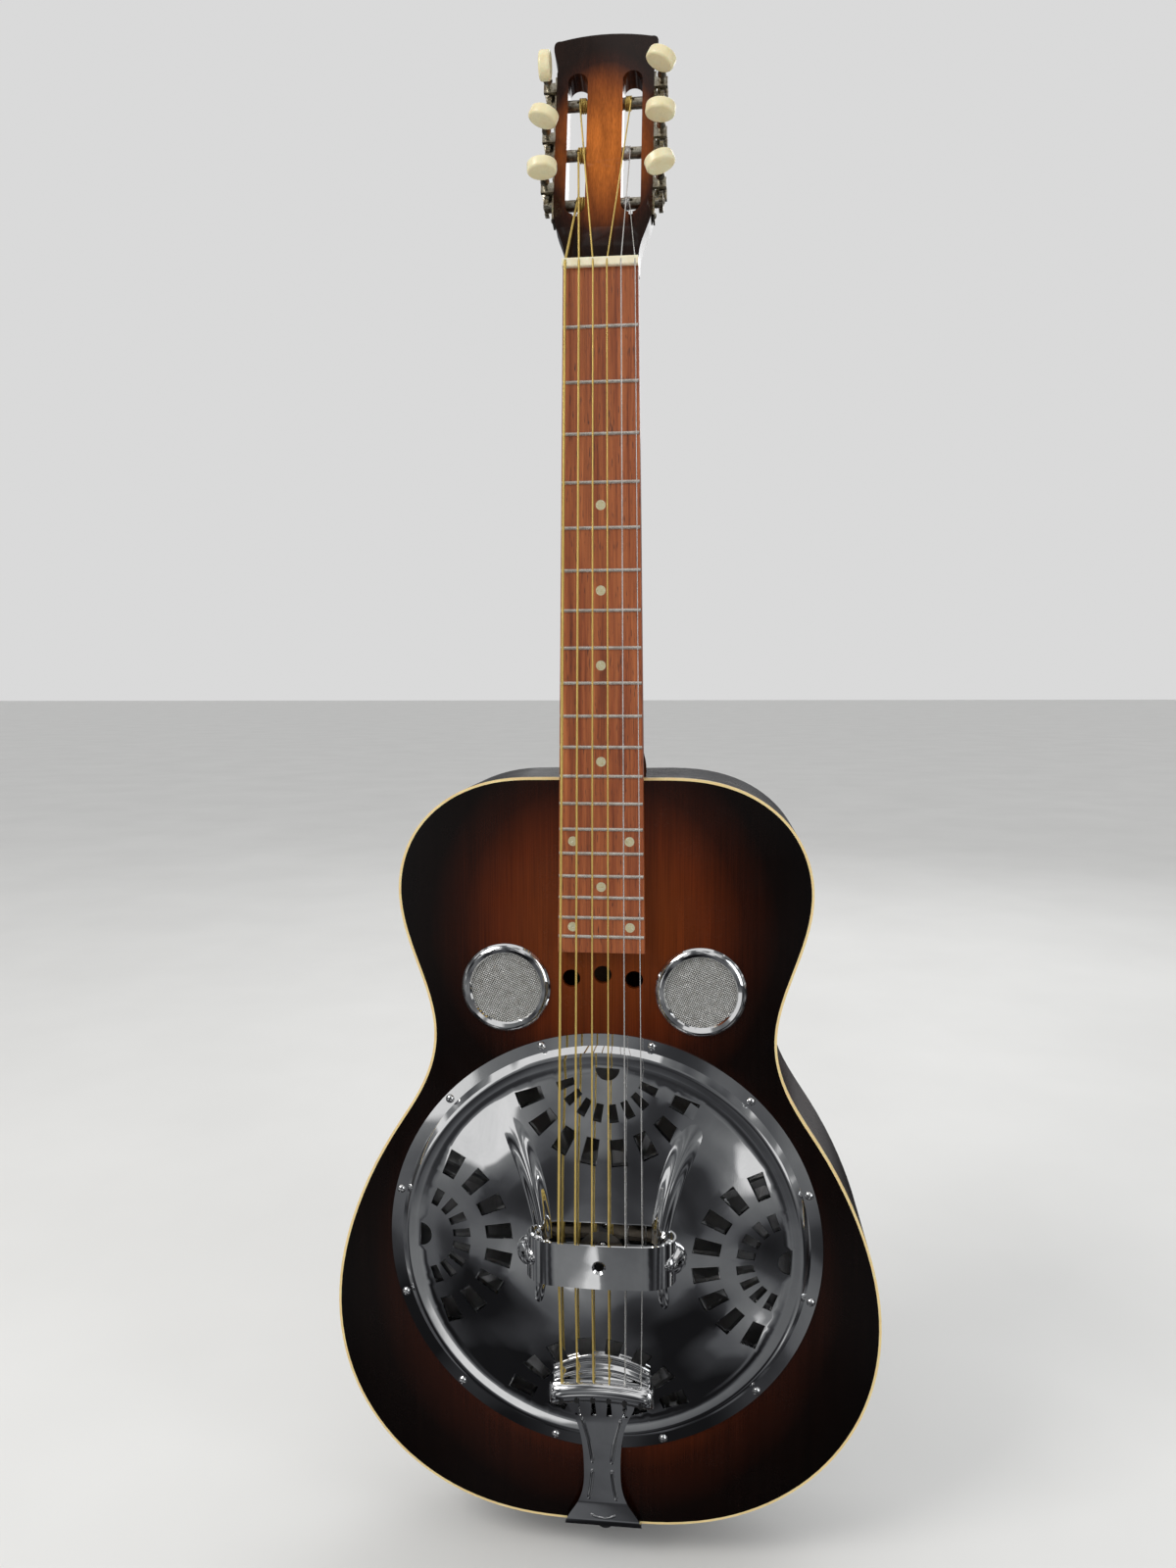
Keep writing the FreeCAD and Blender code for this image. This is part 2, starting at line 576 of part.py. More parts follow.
def make_palm_rest():
    """An arched chromed bridge over the saddles, soldered to the coverplate at both feet."""
    half, high = dim("palm_half"), dim("palm_height")
    foot = -11.0
    shape = [(-1.0, foot), (-0.985, -19.0), (-0.84, -26.4), (-0.45, -30.2), (0.0, -high), (0.45, -30.2), (0.84, -26.4),
             (0.985, -19.0), (1.0, foot)]
    near = -dim("cover_place") + dim("palm_length") / 2
    outer = spline([(x * half, y, near) for x, y in shape])
    wall = 1.4
    inner = spline([(x * (half - wall), y + (wall if y < -20 else 0.35), near) for x, y in shape])
    ends = [(outer.EndPoint, inner.EndPoint), (inner.StartPoint, outer.StartPoint)]
    edges = [outer.toShape(), Part.LineSegment(*ends[0]).toShape(), inner.toShape(), Part.LineSegment(*ends[1]).toShape()]
    arch = Part.Face(Part.Wire(Part.__sortEdges__(edges))).extrude(Vector(0, 0, -dim("palm_length")))
    centre = Vector(*down(0, dim("cover_place")))
    hole = Part.makeCylinder(3.2, 40, centre + Vector(0, -60, 0), Vector(0, 1, 0))
    sink = Part.makeCone(5.2, 3.2, 2.0, centre + Vector(0, -high - 0.6, 0), Vector(0, 1, 0))
    dome = revolve_about_cover([*cover_profile()[1:], (0.0, 5.0), (dim("cover_radius"), 5.0)])
    bell = [(0, -20.6), (4.5, -20.2), (8.0, -18.6), (10.2, -15.8), (11.6, -12.0), (12.2, -8.0), (0, -8.0)]
    feet = []
    for side in (-1, 1):
        at = centre + Vector(side * (half - 6.5), 0, 0)
        ring = [at + Vector(r, y, 0) for r, y in bell]
        edges = [spline([tuple(p) for p in ring[:6]]).toShape(), Part.makePolygon([*ring[5:], ring[0]])]
        profile = Part.Face(Part.Wire([edges[0], *edges[1].Edges]))
        feet.append(profile.revolve(at, Vector(0, 1, 0), 360))
    passage = box_between((-half + 12.5, -26, -dim("cover_place") - 20), (half - 12.5, 0, -dim("cover_place") + 20))
    feature("palm_rest", arch.fuse([f.cut(passage) for f in feet]).cut([hole, sink, dome]))


def make_screens():
    """Two screened sound holes: a chromed ring with a sleeve, and its wire mesh."""
    for side, name in ((-1, "bass"), (1, "treble")):
        at = Vector(*down(side * dim("screen_off"), dim("screen_place")))
        tall, sleeve = dim("ring_height"), 5.0
        outer, inner = dim("ring_radius"), dim("ring_inner")
        profile = [
            (outer, 0), (outer, -0.8), (outer - 1.6, -2.5), (outer - 3.2, -tall), (inner + 0.9, -tall + 0.5), (inner, -1.6),
            (inner, -0.8), (24.6, -0.8), (24.6, sleeve), (dim("screen_hole") - 0.05, sleeve), (dim("screen_hole") - 0.05, 0),
        ]
        ring = [at + Vector(r, depth, 0) for r, depth in profile]
        face = Part.Face(Part.makePolygon([*ring, ring[0]]))
        feature(f"screen_ring_{name}", face.revolve(at, Vector(0, 1, 0), 360))
        feature(f"screen_mesh_{name}", Part.makeCylinder(24.5, 0.7, at + Vector(0, -0.8, 0), Vector(0, 1, 0)))


def make_tailpiece():
    """A pressed tailpiece: bar with string holes, waisted tongue and a flap over the tail, with its screws and end pin."""
    bar_at, bar_high, bar_radius = dim("tail_bar_place"), dim("tail_bar_height"), dim("tail_bar_radius")
    thick, end = dim("tail_thick"), dim("bottom_place")
    half_front = [(13.0, 729), (22.0, 733), (19.0, 742), (13.6, 762), (12.4, 785), (13.0, 797), (17.5, 812), (26.0, 829),
                  (26.5, 836)]
    right = spline([(x, -60, -place) for x, place in half_front])
    left = spline([(-x, -60, -place) for x, place in reversed(half_front)])
    edges = [right.toShape(), Part.LineSegment(right.EndPoint, left.StartPoint).toShape(), left.toShape(),
             Part.LineSegment(left.EndPoint, right.StartPoint).toShape()]
    front = Part.Face(Part.Wire(edges)).extrude(Vector(0, 120, 0))
    line = [(bar_at + 1, -bar_high - 0.6), (bar_at + 20, -13.0), (bar_at + 50, -9.5), (end - 18, -5.5), (end - 3, -2.6),
            (end + 0.2, -1.2), (end + 0.2, dim("tail_flap"))]
    over = [(place + 0.15, y - thick) for place, y in line[:5]] + [(end + thick + 0.2, -1.9 - thick * 0.4),
                                                                 (end + thick + 0.2, dim("tail_flap"))]
    ring = [Vector(-60, y, -place) for place, y in line + list(reversed(over))]
    side = Part.Face(Part.makePolygon([*ring, ring[0]])).extrude(Vector(120, 0, 0))
    tongue = front.common(side)
    start = Vector(-dim("tail_bar_half"), -bar_high, -bar_at)
    bar = Part.makeCylinder(bar_radius, 2 * dim("tail_bar_half"), start, Vector(1, 0, 0))
    bar = bar.makeFillet(2.0, [e for e in bar.Edges if isinstance(e.Curve, Part.Circle)])
    holes = []
    for n in TUNERS:
        a, b = string_point(n, "saddle"), string_point(n, "tail")
        way = (b - a).normalize()
        holes.append(rod(a, b + way * 4, STRING_RADII[n - 1] + 0.1))
        holes.append(rod(b + way, b + way * 16, 2.1))
    piece = bar.fuse(tongue).cut(holes)

    pin_at = Vector(0, 17.0, -(end + thick + 0.2))
    spots = [Vector(x, 9.0, -(end + thick + 0.2)) for x in (-15, 15)]
    shank_holes = [Part.makeCylinder(1.25, 10, s + Vector(0, 0, 5), Vector(0, 0, -1)) for s in spots]
    shank_holes.append(Part.makeCylinder(3.05, 10, pin_at + Vector(0, 0, 5), Vector(0, 0, -1)))
    feature("tailpiece", piece.cut(shank_holes))
    screws = [screw(s, (0, 0, -1), 2.9, 1.6, 1.2, 16.0) for s in spots]
    feature("tailpiece_screws", Part.makeCompound(screws))
    profile = [(0, 22), (3.0, 22), (3.0, 0), (6.2, 0), (6.0, -1.6), (3.8, -3.2), (3.6, -7.0), (5.0, -9.2), (6.4, -10.6),
               (6.6, -12.2), (5.2, -13.6), (2.6, -14.4), (0, -14.6)]
    ring = [pin_at + Vector(r, 0, up) for r, up in profile]
    feature("end_pin", Part.Face(Part.makePolygon([*ring, ring[0]])).revolve(pin_at, Vector(0, 0, 1), 360))
    holes = [Part.makeCylinder(1.2, 16, s, Vector(0, 0, 1)) for s in spots]
    return holes + [Part.makeCylinder(3.0, 22, pin_at, Vector(0, 0, 1))]


# ---- tuners -------------------------------------------------------------------------------------


def gear_shape():
    """The gear on its own axis, X, centred at the origin: trapezoidal teeth for a single-start worm."""
    teeth, root, outer = int(dim("gear_teeth")), dim("gear_root"), dim("gear_outer")
    points = []
    for i in range(teeth):
        middle = 2 * math.pi * i / teeth
        for radius, half in ((root, 0.64), (outer, 0.30), (outer, -0.30), (root, -0.64)):
            angle = middle - half / radius
            points.append(Vector(0, radius * math.cos(angle), radius * math.sin(angle)))
    wide = dim("gear_width")
    face = Part.Face(Part.makePolygon([*points, points[0]]))
    gear = face.extrude(Vector(wide, 0, 0))
    gear.translate(Vector(-wide / 2, 0, 0))
    return gear


def worm_shape():
    """The worm on its own axis, Y, centred at the origin: one helical thread over a core."""
    lead = 2 * math.pi * dim("gear_pitch_radius") / dim("gear_teeth")
    length, root, outer = dim("worm_length"), dim("worm_root"), dim("worm_outer")
    turns = 3
    helix = Part.makeHelix(lead, lead * turns, root)
    low, high = 0.52, 0.24
    profile = Part.makePolygon([
        Vector(root - 0.15, 0, -low), Vector(outer, 0, -high), Vector(outer, 0, high), Vector(root - 0.15, 0, low),
        Vector(root - 0.15, 0, -low),
    ])
    thread = Part.Wire(helix).makePipeShell([profile], True, True)
    thread.translate(Vector(0, 0, -lead * turns / 2))
    core = Part.makeCylinder(root, length, Vector(0, 0, -length / 2))
    worm = core.fuse(thread)
    worm.rotate(Vector(0, 0, 0), Vector(1, 0, 0), -90)
    return worm


def button_shape():
    """An oval button with softened edges, its stem end at the origin and its length along +Y."""
    length, half, thick = dim("button_length"), dim("button_half"), dim("button_thick")
    oval = Part.Ellipse(Vector(0, length / 2, 0), half, length / 2).toShape()
    body = Part.Face(Part.Wire([oval])).extrude(Vector(0, 0, thick))
    body.translate(Vector(0, 0, -thick / 2))
    return body.makeFillet(1.6, body.Edges)


def make_tuners():
    """Two side plates with bearings, and for each string a post with its gear, a worm shaft and a button."""
    centre_distance = dim("gear_pitch_radius") + dim("worm_pitch_radius")
    half, plate, depth = dim("head_half"), dim("plate_thick"), dim("post_depth")
    gear_across = half + plate + 0.3 + dim("worm_outer")
    place = head_placement()
    worm, gear, button = worm_shape(), gear_shape(), button_shape()
    reach = dim("worm_length") / 2
    screws, holes = [], []
    for side, name in ((-1, "bass"), (1, "treble")):
        low, high = sorted((side * half, side * (half + plate)))
        body = box_between((low, depth - dim("plate_half"), post_place(0) - 12), (high, depth + dim("plate_half"),
                                                                                 post_place(2) + 17))
        cuts = []
        for row in range(3):
            up = post_place(row) + centre_distance
            near, far = sorted((side * half, side * (gear_across + 3.4)))
            for start in (depth - reach - 0.15 - dim("bearing_thick"), depth + reach + 0.15):
                lug = box_between((near, start, up - 3.3), (far, start + dim("bearing_thick"), up + 3.3))
                body = body.fuse(lug)
            cuts.append(Part.makeCylinder(dim("shaft_radius") + 0.06, 40, Vector(side * gear_across, depth - 20, up),
                                          Vector(0, 1, 0)))
            cuts.append(Part.makeCylinder(dim("post_radius") + 0.06, 10, Vector(side * (half - 3), depth, post_place(row)),
                                          Vector(side, 0, 0)))
        for up in (post_place(0) - 9.5, post_place(0) + 19.5, post_place(1) + 19.5, post_place(2) + 14.8):
            at = Vector(side * (half + plate), depth, up)
            cuts.append(Part.makeCylinder(1.05, 10, at - Vector(side * 5, 0, 0), Vector(side, 0, 0)))
            screws.append(screw(at, (side, 0, 0), 1.9, 1.1, 1.0, 6.5))
            hole = Part.makeCylinder(1.04, 5.6, at - Vector(side * 6.6, 0, 0), Vector(side, 0, 0))
            hole.Placement = place.multiply(hole.Placement)
            holes.append(hole)
        body = body.cut(cuts)
        body.Placement = place
        feature(f"tuner_plate_{name}", body.removeSplitter())
    group = Part.makeCompound(screws)
    group.Placement = place
    feature("tuner_plate_screws", group)

    for n, (side, row) in TUNERS.items():
        up = post_place(row)
        centre = Vector(side * gear_across, depth, up)
        inner = Vector(side * (POST_INNER + 0.4), depth, up)
        outer = gear_across - dim("gear_width") / 2
        post = Part.makeCylinder(dim("post_radius"), outer - POST_INNER - 0.4, inner, Vector(side, 0, 0))
        string_hole = Part.makeCylinder(0.9, 20, Vector(side * dim("slot_off"), depth - 10, up), Vector(0, 1, 0))
        post = post.cut(string_hole)
        wheel = gear.copy()
        wheel.translate(centre)
        cap = screw(Vector(side * (gear_across + dim("gear_width") / 2), depth, up), (side, 0, 0), 2.6, 1.2, 1.2, 1.0)
        group = Part.makeCompound([post.fuse(wheel).fuse(cap)])
        group.Placement = place
        feature(f"string_post_{n}", group)

        axis_at = Vector(side * gear_across, depth, up + centre_distance)
        shaft_low = reach + 0.15 + dim("bearing_thick") + 0.2
        long = shaft_low + dim("button_reach") - reach + 2.0
        shaft = Part.makeCylinder(dim("shaft_radius"), long, Vector(0, -shaft_low, 0), Vector(0, 1, 0))
        ferrule = Part.makeCone(2.9, 2.3, 3.0, Vector(0, dim("button_reach") - 5.2, 0), Vector(0, 1, 0))
        part = worm.fuse([shaft, ferrule])
        bead = Part.makeCylinder(2.3, 2.25, Vector(0, dim("button_reach") - 2.25, 0), Vector(0, 1, 0))
        part = part.fuse(bead)
        keep = Part.makeBox(20, dim("button_reach") + shaft_low, 20, Vector(-10, -shaft_low, -10))
        part = part.common(keep)
        part.rotate(Vector(0, 0, 0), Vector(0, 1, 0), WORM_PHASE)
        part.rotate(Vector(0, 0, 0), Vector(0, 0, 1), 180)
        part.translate(axis_at)
        part.Placement = place.multiply(part.Placement)
        feature(f"worm_shaft_{n}", part)
        knob = button.copy()
        knob.translate(Vector(0, dim("button_reach"), 0))
        knob.rotate(Vector(0, 0, 0), Vector(0, 1, 0), BUTTON_TURNS[n])
        knob.rotate(Vector(0, 0, 0), Vector(0, 0, 1), 180)
        knob.translate(axis_at)
        knob.Placement = place.multiply(knob.Placement)
        feature(f"tuner_button_{n}", knob)
    return holes


def pierce(label, holes):
    """Takes screw and pin holes out of a wooden sub-part."""
    old = next(o for o in SUBPARTS if o.Label == label)
    drilled = old.Shape.cut(holes)
    place = SUBPARTS.index(old)
    old.Label = label + "_blank"
    obj = tool(label + "_drilled", drilled)
    obj.Label = label
    SUBPARTS[place] = obj


def write_parts():
    """Checks every object and writes one file for each sub-part."""
    os.makedirs("parts", exist_ok=True)
    for obj in doc.Objects:
        if "Invalid" in obj.State or "Error" in obj.State:
            raise RuntimeError(f"{obj.Label} failed: {obj.State}")
    for obj in SUBPARTS:
        shape = obj.Shape
        if shape.isNull() or not shape.isValid() or not shape.Solids:
            raise RuntimeError(f"{obj.Label} has no valid solid")
        shape.exportStep(os.path.join("parts", obj.Label + ".step"))
        print(f"{obj.Label:22s} {len(shape.Solids):3d} solids {shape.Volume:12.1f} mm3")


make_body()
make_neck()
make_strings()
cover_holes = make_resonator()
make_palm_rest()
make_screens()
tail_holes = make_tailpiece()
head_holes = make_tuners()
doc.recompute()
for wooden in ("soundboard", "soundwell"):
    pierce(wooden, cover_holes)
pierce("neck", head_holes)
for wooden in ("side_bass", "side_treble", "tail_block"):
    pierce(wooden, tail_holes)
write_parts()
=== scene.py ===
import bpy
import bmesh
import json
import math
from mathutils import Euler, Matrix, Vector


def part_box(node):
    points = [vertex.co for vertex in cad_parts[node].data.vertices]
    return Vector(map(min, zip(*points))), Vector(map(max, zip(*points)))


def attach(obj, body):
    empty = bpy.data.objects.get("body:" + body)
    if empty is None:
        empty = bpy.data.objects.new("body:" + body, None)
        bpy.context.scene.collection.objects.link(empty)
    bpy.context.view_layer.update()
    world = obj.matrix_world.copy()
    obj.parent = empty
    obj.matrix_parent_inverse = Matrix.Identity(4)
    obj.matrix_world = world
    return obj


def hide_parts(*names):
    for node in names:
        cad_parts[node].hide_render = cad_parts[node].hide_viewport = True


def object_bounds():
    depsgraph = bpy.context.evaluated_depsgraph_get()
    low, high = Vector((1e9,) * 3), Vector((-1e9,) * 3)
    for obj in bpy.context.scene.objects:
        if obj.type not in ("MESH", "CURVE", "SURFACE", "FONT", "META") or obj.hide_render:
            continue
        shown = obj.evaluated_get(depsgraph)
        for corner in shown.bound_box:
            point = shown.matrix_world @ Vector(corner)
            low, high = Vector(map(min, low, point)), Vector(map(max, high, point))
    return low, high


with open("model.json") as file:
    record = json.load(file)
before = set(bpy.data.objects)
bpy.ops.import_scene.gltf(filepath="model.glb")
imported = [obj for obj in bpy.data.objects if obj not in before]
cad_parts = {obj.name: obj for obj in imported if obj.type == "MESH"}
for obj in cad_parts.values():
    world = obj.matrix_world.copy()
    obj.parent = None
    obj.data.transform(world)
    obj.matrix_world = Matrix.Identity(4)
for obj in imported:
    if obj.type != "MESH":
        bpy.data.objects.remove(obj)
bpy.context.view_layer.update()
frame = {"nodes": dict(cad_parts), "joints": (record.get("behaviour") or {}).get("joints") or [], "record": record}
nodes = frame["nodes"]
MM = 0.001

# ---- node helpers ---------------------------------------------------------------------------------


class Shader:
    """A small builder for node materials with one Principled shader."""

    def __init__(self, name, **values):
        self.mat = bpy.data.materials.new(name)
        self.mat.use_nodes = True
        self.tree = self.mat.node_tree
        self.main = self.tree.nodes["Principled BSDF"]
        for key, value in values.items():
            self.set(key.replace("_", " "), value)

    def set(self, key, value):
        """Sets a plain value on the shader's own socket."""
        socket = self.main.inputs[key]
        if isinstance(value, tuple) and len(value) == 3:
            value = (*value, 1)
        socket.default_value = value

    def node(self, kind, **inputs):
        """Adds a node; values that are sockets are linked and others are set."""
        made = self.tree.nodes.new(kind)
        for key, value in inputs.items():
            self.feed(made.inputs[key.replace("_", " ")], value)
        return made

    def feed(self, socket, value):
        if isinstance(value, bpy.types.NodeSocket):
            self.tree.links.new(value, socket)
        else:
            socket.default_value = value

    def place(self, scale=(1, 1, 1), turn=(0, 0, 0)):
        """Object coordinates, scaled and turned."""
        coords = self.node("ShaderNodeTexCoord").outputs["Object"]
        return self.node("ShaderNodeMapping", Vector=coords, Scale=scale, Rotation=turn).outputs["Vector"]

    def noise(self, where, scale, detail=4.0, rough=0.55, distort=0.0):
        made = self.node("ShaderNodeTexNoise", Vector=where, Scale=scale, Detail=detail, Roughness=rough,
                         Distortion=distort)
        return made.outputs["Fac"]

    def math(self, kind, a, b=0.0, c=0.0, clamp=False):
        made = self.tree.nodes.new("ShaderNodeMath")
        made.operation = kind
        made.use_clamp = clamp
        for i, value in enumerate((a, b, c)):
            self.feed(made.inputs[i], value)
        return made.outputs[0]

    def ramp(self, value, *stops):
        """A colour ramp from (position, colour) stops."""
        made = self.node("ShaderNodeValToRGB", Fac=value)
        bar = made.color_ramp
        while len(bar.elements) < len(stops):
            bar.elements.new(0.5)
        for element, (at, colour) in zip(bar.elements, stops):
            element.position = at
            element.color = (*colour, 1) if len(colour) == 3 else colour
        return made.outputs["Color"]

    def level(self, value, low, high, out_low=0.0, out_high=1.0):
        made = self.node("ShaderNodeMapRange", Value=value)
        for key, number in (("From Min", low), ("From Max", high), ("To Min", out_low), ("To Max", out_high)):
            made.inputs[key].default_value = number
        return made.outputs["Result"]

    def mix(self, fac, a, b, kind="MIX"):
        made = self.tree.nodes.new("ShaderNodeMix")
        made.data_type = "RGBA"
        made.blend_type = kind
        self.feed(made.inputs[0], fac)
        for socket, value in ((made.inputs[6], a), (made.inputs[7], b)):
            self.feed(socket, (*value, 1) if isinstance(value, tuple) and len(value) == 3 else value)
        return made.outputs[2]

    def colour(self, value):
        self.feed(self.main.inputs["Base Color"], value)

    def rough(self, value):
        self.feed(self.main.inputs["Roughness"], value)

    def bump(self, height, strength, distance):
        made = self.node("ShaderNodeBump", Height=height)
        made.inputs["Strength"].default_value = strength
        made.inputs["Distance"].default_value = distance
        self.tree.links.new(made.outputs["Normal"], self.main.inputs["Normal"])


def grain_of(s, along, fine, seed=0.0):
    """Straight wood grain that runs up the neck: broad bands and fine fibres, both 0 to 1."""
    wide = s.place((fine, fine * 0.6, along))
    bands = s.noise(wide, 1.0, 5.0, 0.6, 0.25 + seed)
    fibres = s.noise(s.place((fine * 9, fine * 5, along * 3)), 1.0, 3.0, 0.6)
    return bands, fibres


def lacquered(s, fibres, bands):
    """A glossy lacquer over wood: faint sinking over the grain, dust and hairline wear in the sheen."""
    wear = s.noise(s.place(), 22.0, 6.0, 0.7)
    s.rough(s.level(wear, 0.35, 0.75, 0.18, 0.34))
    s.set("Specular IOR Level", 0.12)
    s.set("Coat Weight", 0.30)
    s.set("Coat Roughness", 0.05)
    s.bump(s.math("ADD", s.math("MULTIPLY", fibres, 0.5), bands), 0.10, 0.0003)


def coordinates(s):
    """The row frame's X, Y and Z."""
    split = s.node("ShaderNodeSeparateXYZ", Vector=s.place())
    return split.outputs


def inside_oval(s, x, z, middle, half_wide, half_high):
    """1 at the middle of an oval, 0 on its edge, negative outside."""
    a = s.math("DIVIDE", x, half_wide)
    b = s.math("DIVIDE", s.math("SUBTRACT", z, middle), half_high)
    reach = s.math("SQRT", s.math("ADD", s.math("MULTIPLY", a, a), s.math("MULTIPLY", b, b)))
    return s.math("SUBTRACT", 1.0, reach)


def sunburst_top():
    """Brown sunburst: black edges that follow both bouts, red-brown middle, straight mahogany grain."""
    s = Shader("sunburst_top")
    bands, fibres = grain_of(s, 5.0, 170.0)
    x, _, z = coordinates(s)
    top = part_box("soundboard")[1].z
    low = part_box("soundboard")[0].z
    upper = inside_oval(s, x, z, top - 0.098, 0.140, 0.150)
    lower = inside_oval(s, x, z, low + 0.176, 0.192, 0.212)
    burst = s.math("MAXIMUM", upper, lower)
    drift = s.math("MULTIPLY", s.math("SUBTRACT", s.noise(s.place(), 9.0, 3.0), 0.5), 0.10)
    burst = s.math("ADD", burst, drift)
    glow = s.ramp(burst, (0.0, (0.002, 0.0012, 0.001)), (0.18, (0.004, 0.0016, 0.0011)),
                  (0.34, (0.022, 0.0045, 0.0016)), (0.52, (0.085, 0.0150, 0.0026)),
                  (0.90, (0.165, 0.036, 0.0052)))
    stripes = s.ramp(bands, (0.30, (0.78, 0.78, 0.78)), (0.70, (1.12, 1.09, 1.05)))
    hair = s.ramp(fibres, (0.35, (0.74, 0.74, 0.74)), (0.60, (1.08, 1.06, 1.04)))
    s.colour(s.mix(1.0, s.mix(1.0, glow, stripes, "MULTIPLY"), hair, "MULTIPLY"))
    lacquered(s, fibres, bands)
    return s.mat


def dark_body():
    """Back and ribs: dark brown lacquer, a little lighter in the middle of the back."""
    s = Shader("dark_body")
    bands, fibres = grain_of(s, 6.0, 120.0)
    x, _, z = coordinates(s)
    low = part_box("back")[0].z
    middle = inside_oval(s, x, z, low + 0.21, 0.170, 0.30)
    glow = s.ramp(middle, (0.0, (0.010, 0.0045, 0.003)), (0.35, (0.030, 0.009, 0.004)),
                  (0.8, (0.085, 0.024, 0.008)))
    stripes = s.ramp(bands, (0.30, (0.60, 0.60, 0.60)), (0.70, (1.2, 1.15, 1.1)))
    s.colour(s.mix(1.0, glow, stripes, "MULTIPLY"))
    lacquered(s, fibres, bands)
    return s.mat


def neck_wood():
    """Neck: dark brown shaft; the headstock glows orange-brown between its dark edges."""
    s = Shader("neck_wood")
    bands, fibres = grain_of(s, 7.0, 210.0)
    x, _, z = coordinates(s)
    low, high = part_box("neck")
    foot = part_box("nut")[1].z
    tall = high.z - foot
    head = inside_oval(s, x, z, foot + tall * 0.50, 0.041, tall * 0.44)
    glow = s.ramp(head, (0.0, (0.012, 0.005, 0.003)), (0.14, (0.028, 0.008, 0.004)),
                  (0.36, (0.20, 0.052, 0.010)), (0.75, (0.46, 0.135, 0.022)))
    shaft = (0.060, 0.017, 0.007)
    above = s.level(z, foot - 0.02, foot)
    stripes = s.ramp(bands, (0.30, (0.66, 0.62, 0.58)), (0.70, (1.15, 1.12, 1.08)))
    hair = s.ramp(fibres, (0.35, (0.75, 0.73, 0.7)), (0.62, (1.08, 1.06, 1.04)))
    base = s.mix(above, shaft, glow)
    s.colour(s.mix(1.0, s.mix(1.0, base, stripes, "MULTIPLY"), hair, "MULTIPLY"))
    lacquered(s, fibres, bands)
    return s.mat


def rosewood():
    """Fingerboard: orange-brown with dark streaks and open pores along the grain."""
    s = Shader("fingerboard_wood")
    bands, fibres = grain_of(s, 9.0, 330.0)
    pores = s.noise(s.place((1500, 900, 110)), 1.0, 2.0, 0.5)
    tone = s.ramp(bands, (0.24, (0.12, 0.022, 0.006)), (0.42, (0.27, 0.064, 0.016)),
                  (0.62, (0.39, 0.110, 0.028)), (0.82, (0.50, 0.165, 0.048)))
    tone = s.mix(1.0, tone, s.ramp(fibres, (0.33, (0.70, 0.66, 0.62)), (0.6, (1.06, 1.05, 1.04))), "MULTIPLY")
    dark = s.level(pores, 0.62, 0.70)
    s.colour(s.mix(dark, tone, (0.09, 0.025, 0.012)))
    s.rough(s.level(bands, 0.2, 0.8, 0.36, 0.56))
    s.bump(s.math("SUBTRACT", fibres, s.math("MULTIPLY", dark, 0.9)), 0.22, 0.0003)
    return s.mat


def raw_wood(name, light, dark):
    """Unfinished inside wood."""
    s = Shader(name)
    bands, fibres = grain_of(s, 8.0, 150.0)
    s.colour(s.mix(1.0, s.ramp(bands, (0.3, dark), (0.7, light)),
                   s.ramp(fibres, (0.3, (0.8, 0.8, 0.8)), (0.6, (1.05, 1.05, 1.05))), "MULTIPLY"))
    s.rough(s.level(fibres, 0.2, 0.8, 0.55, 0.8))
    s.bump(fibres, 0.3, 0.0003)
    return s.mat


def chrome():
    """Polished plate: near mirror, with soft smears, fine scratches and the waves of pressed metal."""
    s = Shader("chrome_plate", Metallic=1.0)
    smears = s.noise(s.place(), 30.0, 6.0, 0.65, 0.6)
    waves = s.noise(s.place(), 17.0, 2.0, 0.5)
    scratch = s.noise(s.place((2600, 300, 300), (0.3, 0.8, 0.4)), 1.0, 2.0, 0.5)
    s.colour(s.ramp(smears, (0.3, (0.64, 0.645, 0.65)), (0.7, (0.76, 0.76, 0.765))))
    s.rough(s.level(smears, 0.35, 0.8, 0.012, 0.05))
    s.bump(s.math("ADD", waves, s.math("MULTIPLY", scratch, 0.006)), 0.20, 0.0012)
    return s.mat


def aged_metal(name, clean, stain, low=0.22, high=0.5, scale=240.0, metallic=1.0):
    """Plated metal that has dulled: stains in patches, with rougher metal under them."""
    s = Shader(name, Metallic=metallic)
    patches = s.noise(s.place(), scale, 5.0, 0.65, 0.4)
    fine = s.noise(s.place(), scale * 7, 3.0, 0.6)
    s.colour(s.ramp(patches, (0.36, stain), (0.60, clean)))
    s.rough(s.level(patches, 0.3, 0.7, high, low))
    s.bump(fine, 0.18, 0.0001)
    return s.mat


def ivory(name, light, dark, scale=120.0):
    """Cream plastic or bone: slight cloudiness, a soft depth and a handled sheen."""
    s = Shader(name)
    clouds = s.noise(s.place(), scale, 5.0, 0.6, 0.5)
    specks = s.noise(s.place(), scale * 12, 2.0, 0.5)
    s.colour(s.ramp(clouds, (0.3, dark), (0.7, light)))
    s.rough(s.level(clouds, 0.3, 0.7, 0.34, 0.22))
    s.set("Subsurface Weight", 0.12)
    s.set("Subsurface Scale", 0.002)
    s.bump(s.math("ADD", s.math("MULTIPLY", specks, 0.3), clouds), 0.08, 0.0002)
    return s.mat


def pearl():
    """Shell dots: swirled cream, green and rose patches under polish."""
    s = Shader("pearl_dots", Metallic=0.25)
    swirl = s.noise(s.place(), 420.0, 6.0, 0.6, 2.5)
    s.colour(s.ramp(swirl, (0.30, (0.36, 0.30, 0.16)), (0.46, (0.62, 0.54, 0.32)), (0.56, (0.50, 0.50, 0.36)),
                    (0.70, (0.80, 0.72, 0.50))))
    s.rough(s.level(swirl, 0.3, 0.7, 0.16, 0.3))
    s.bump(swirl, 0.05, 0.0001)
    return s.mat


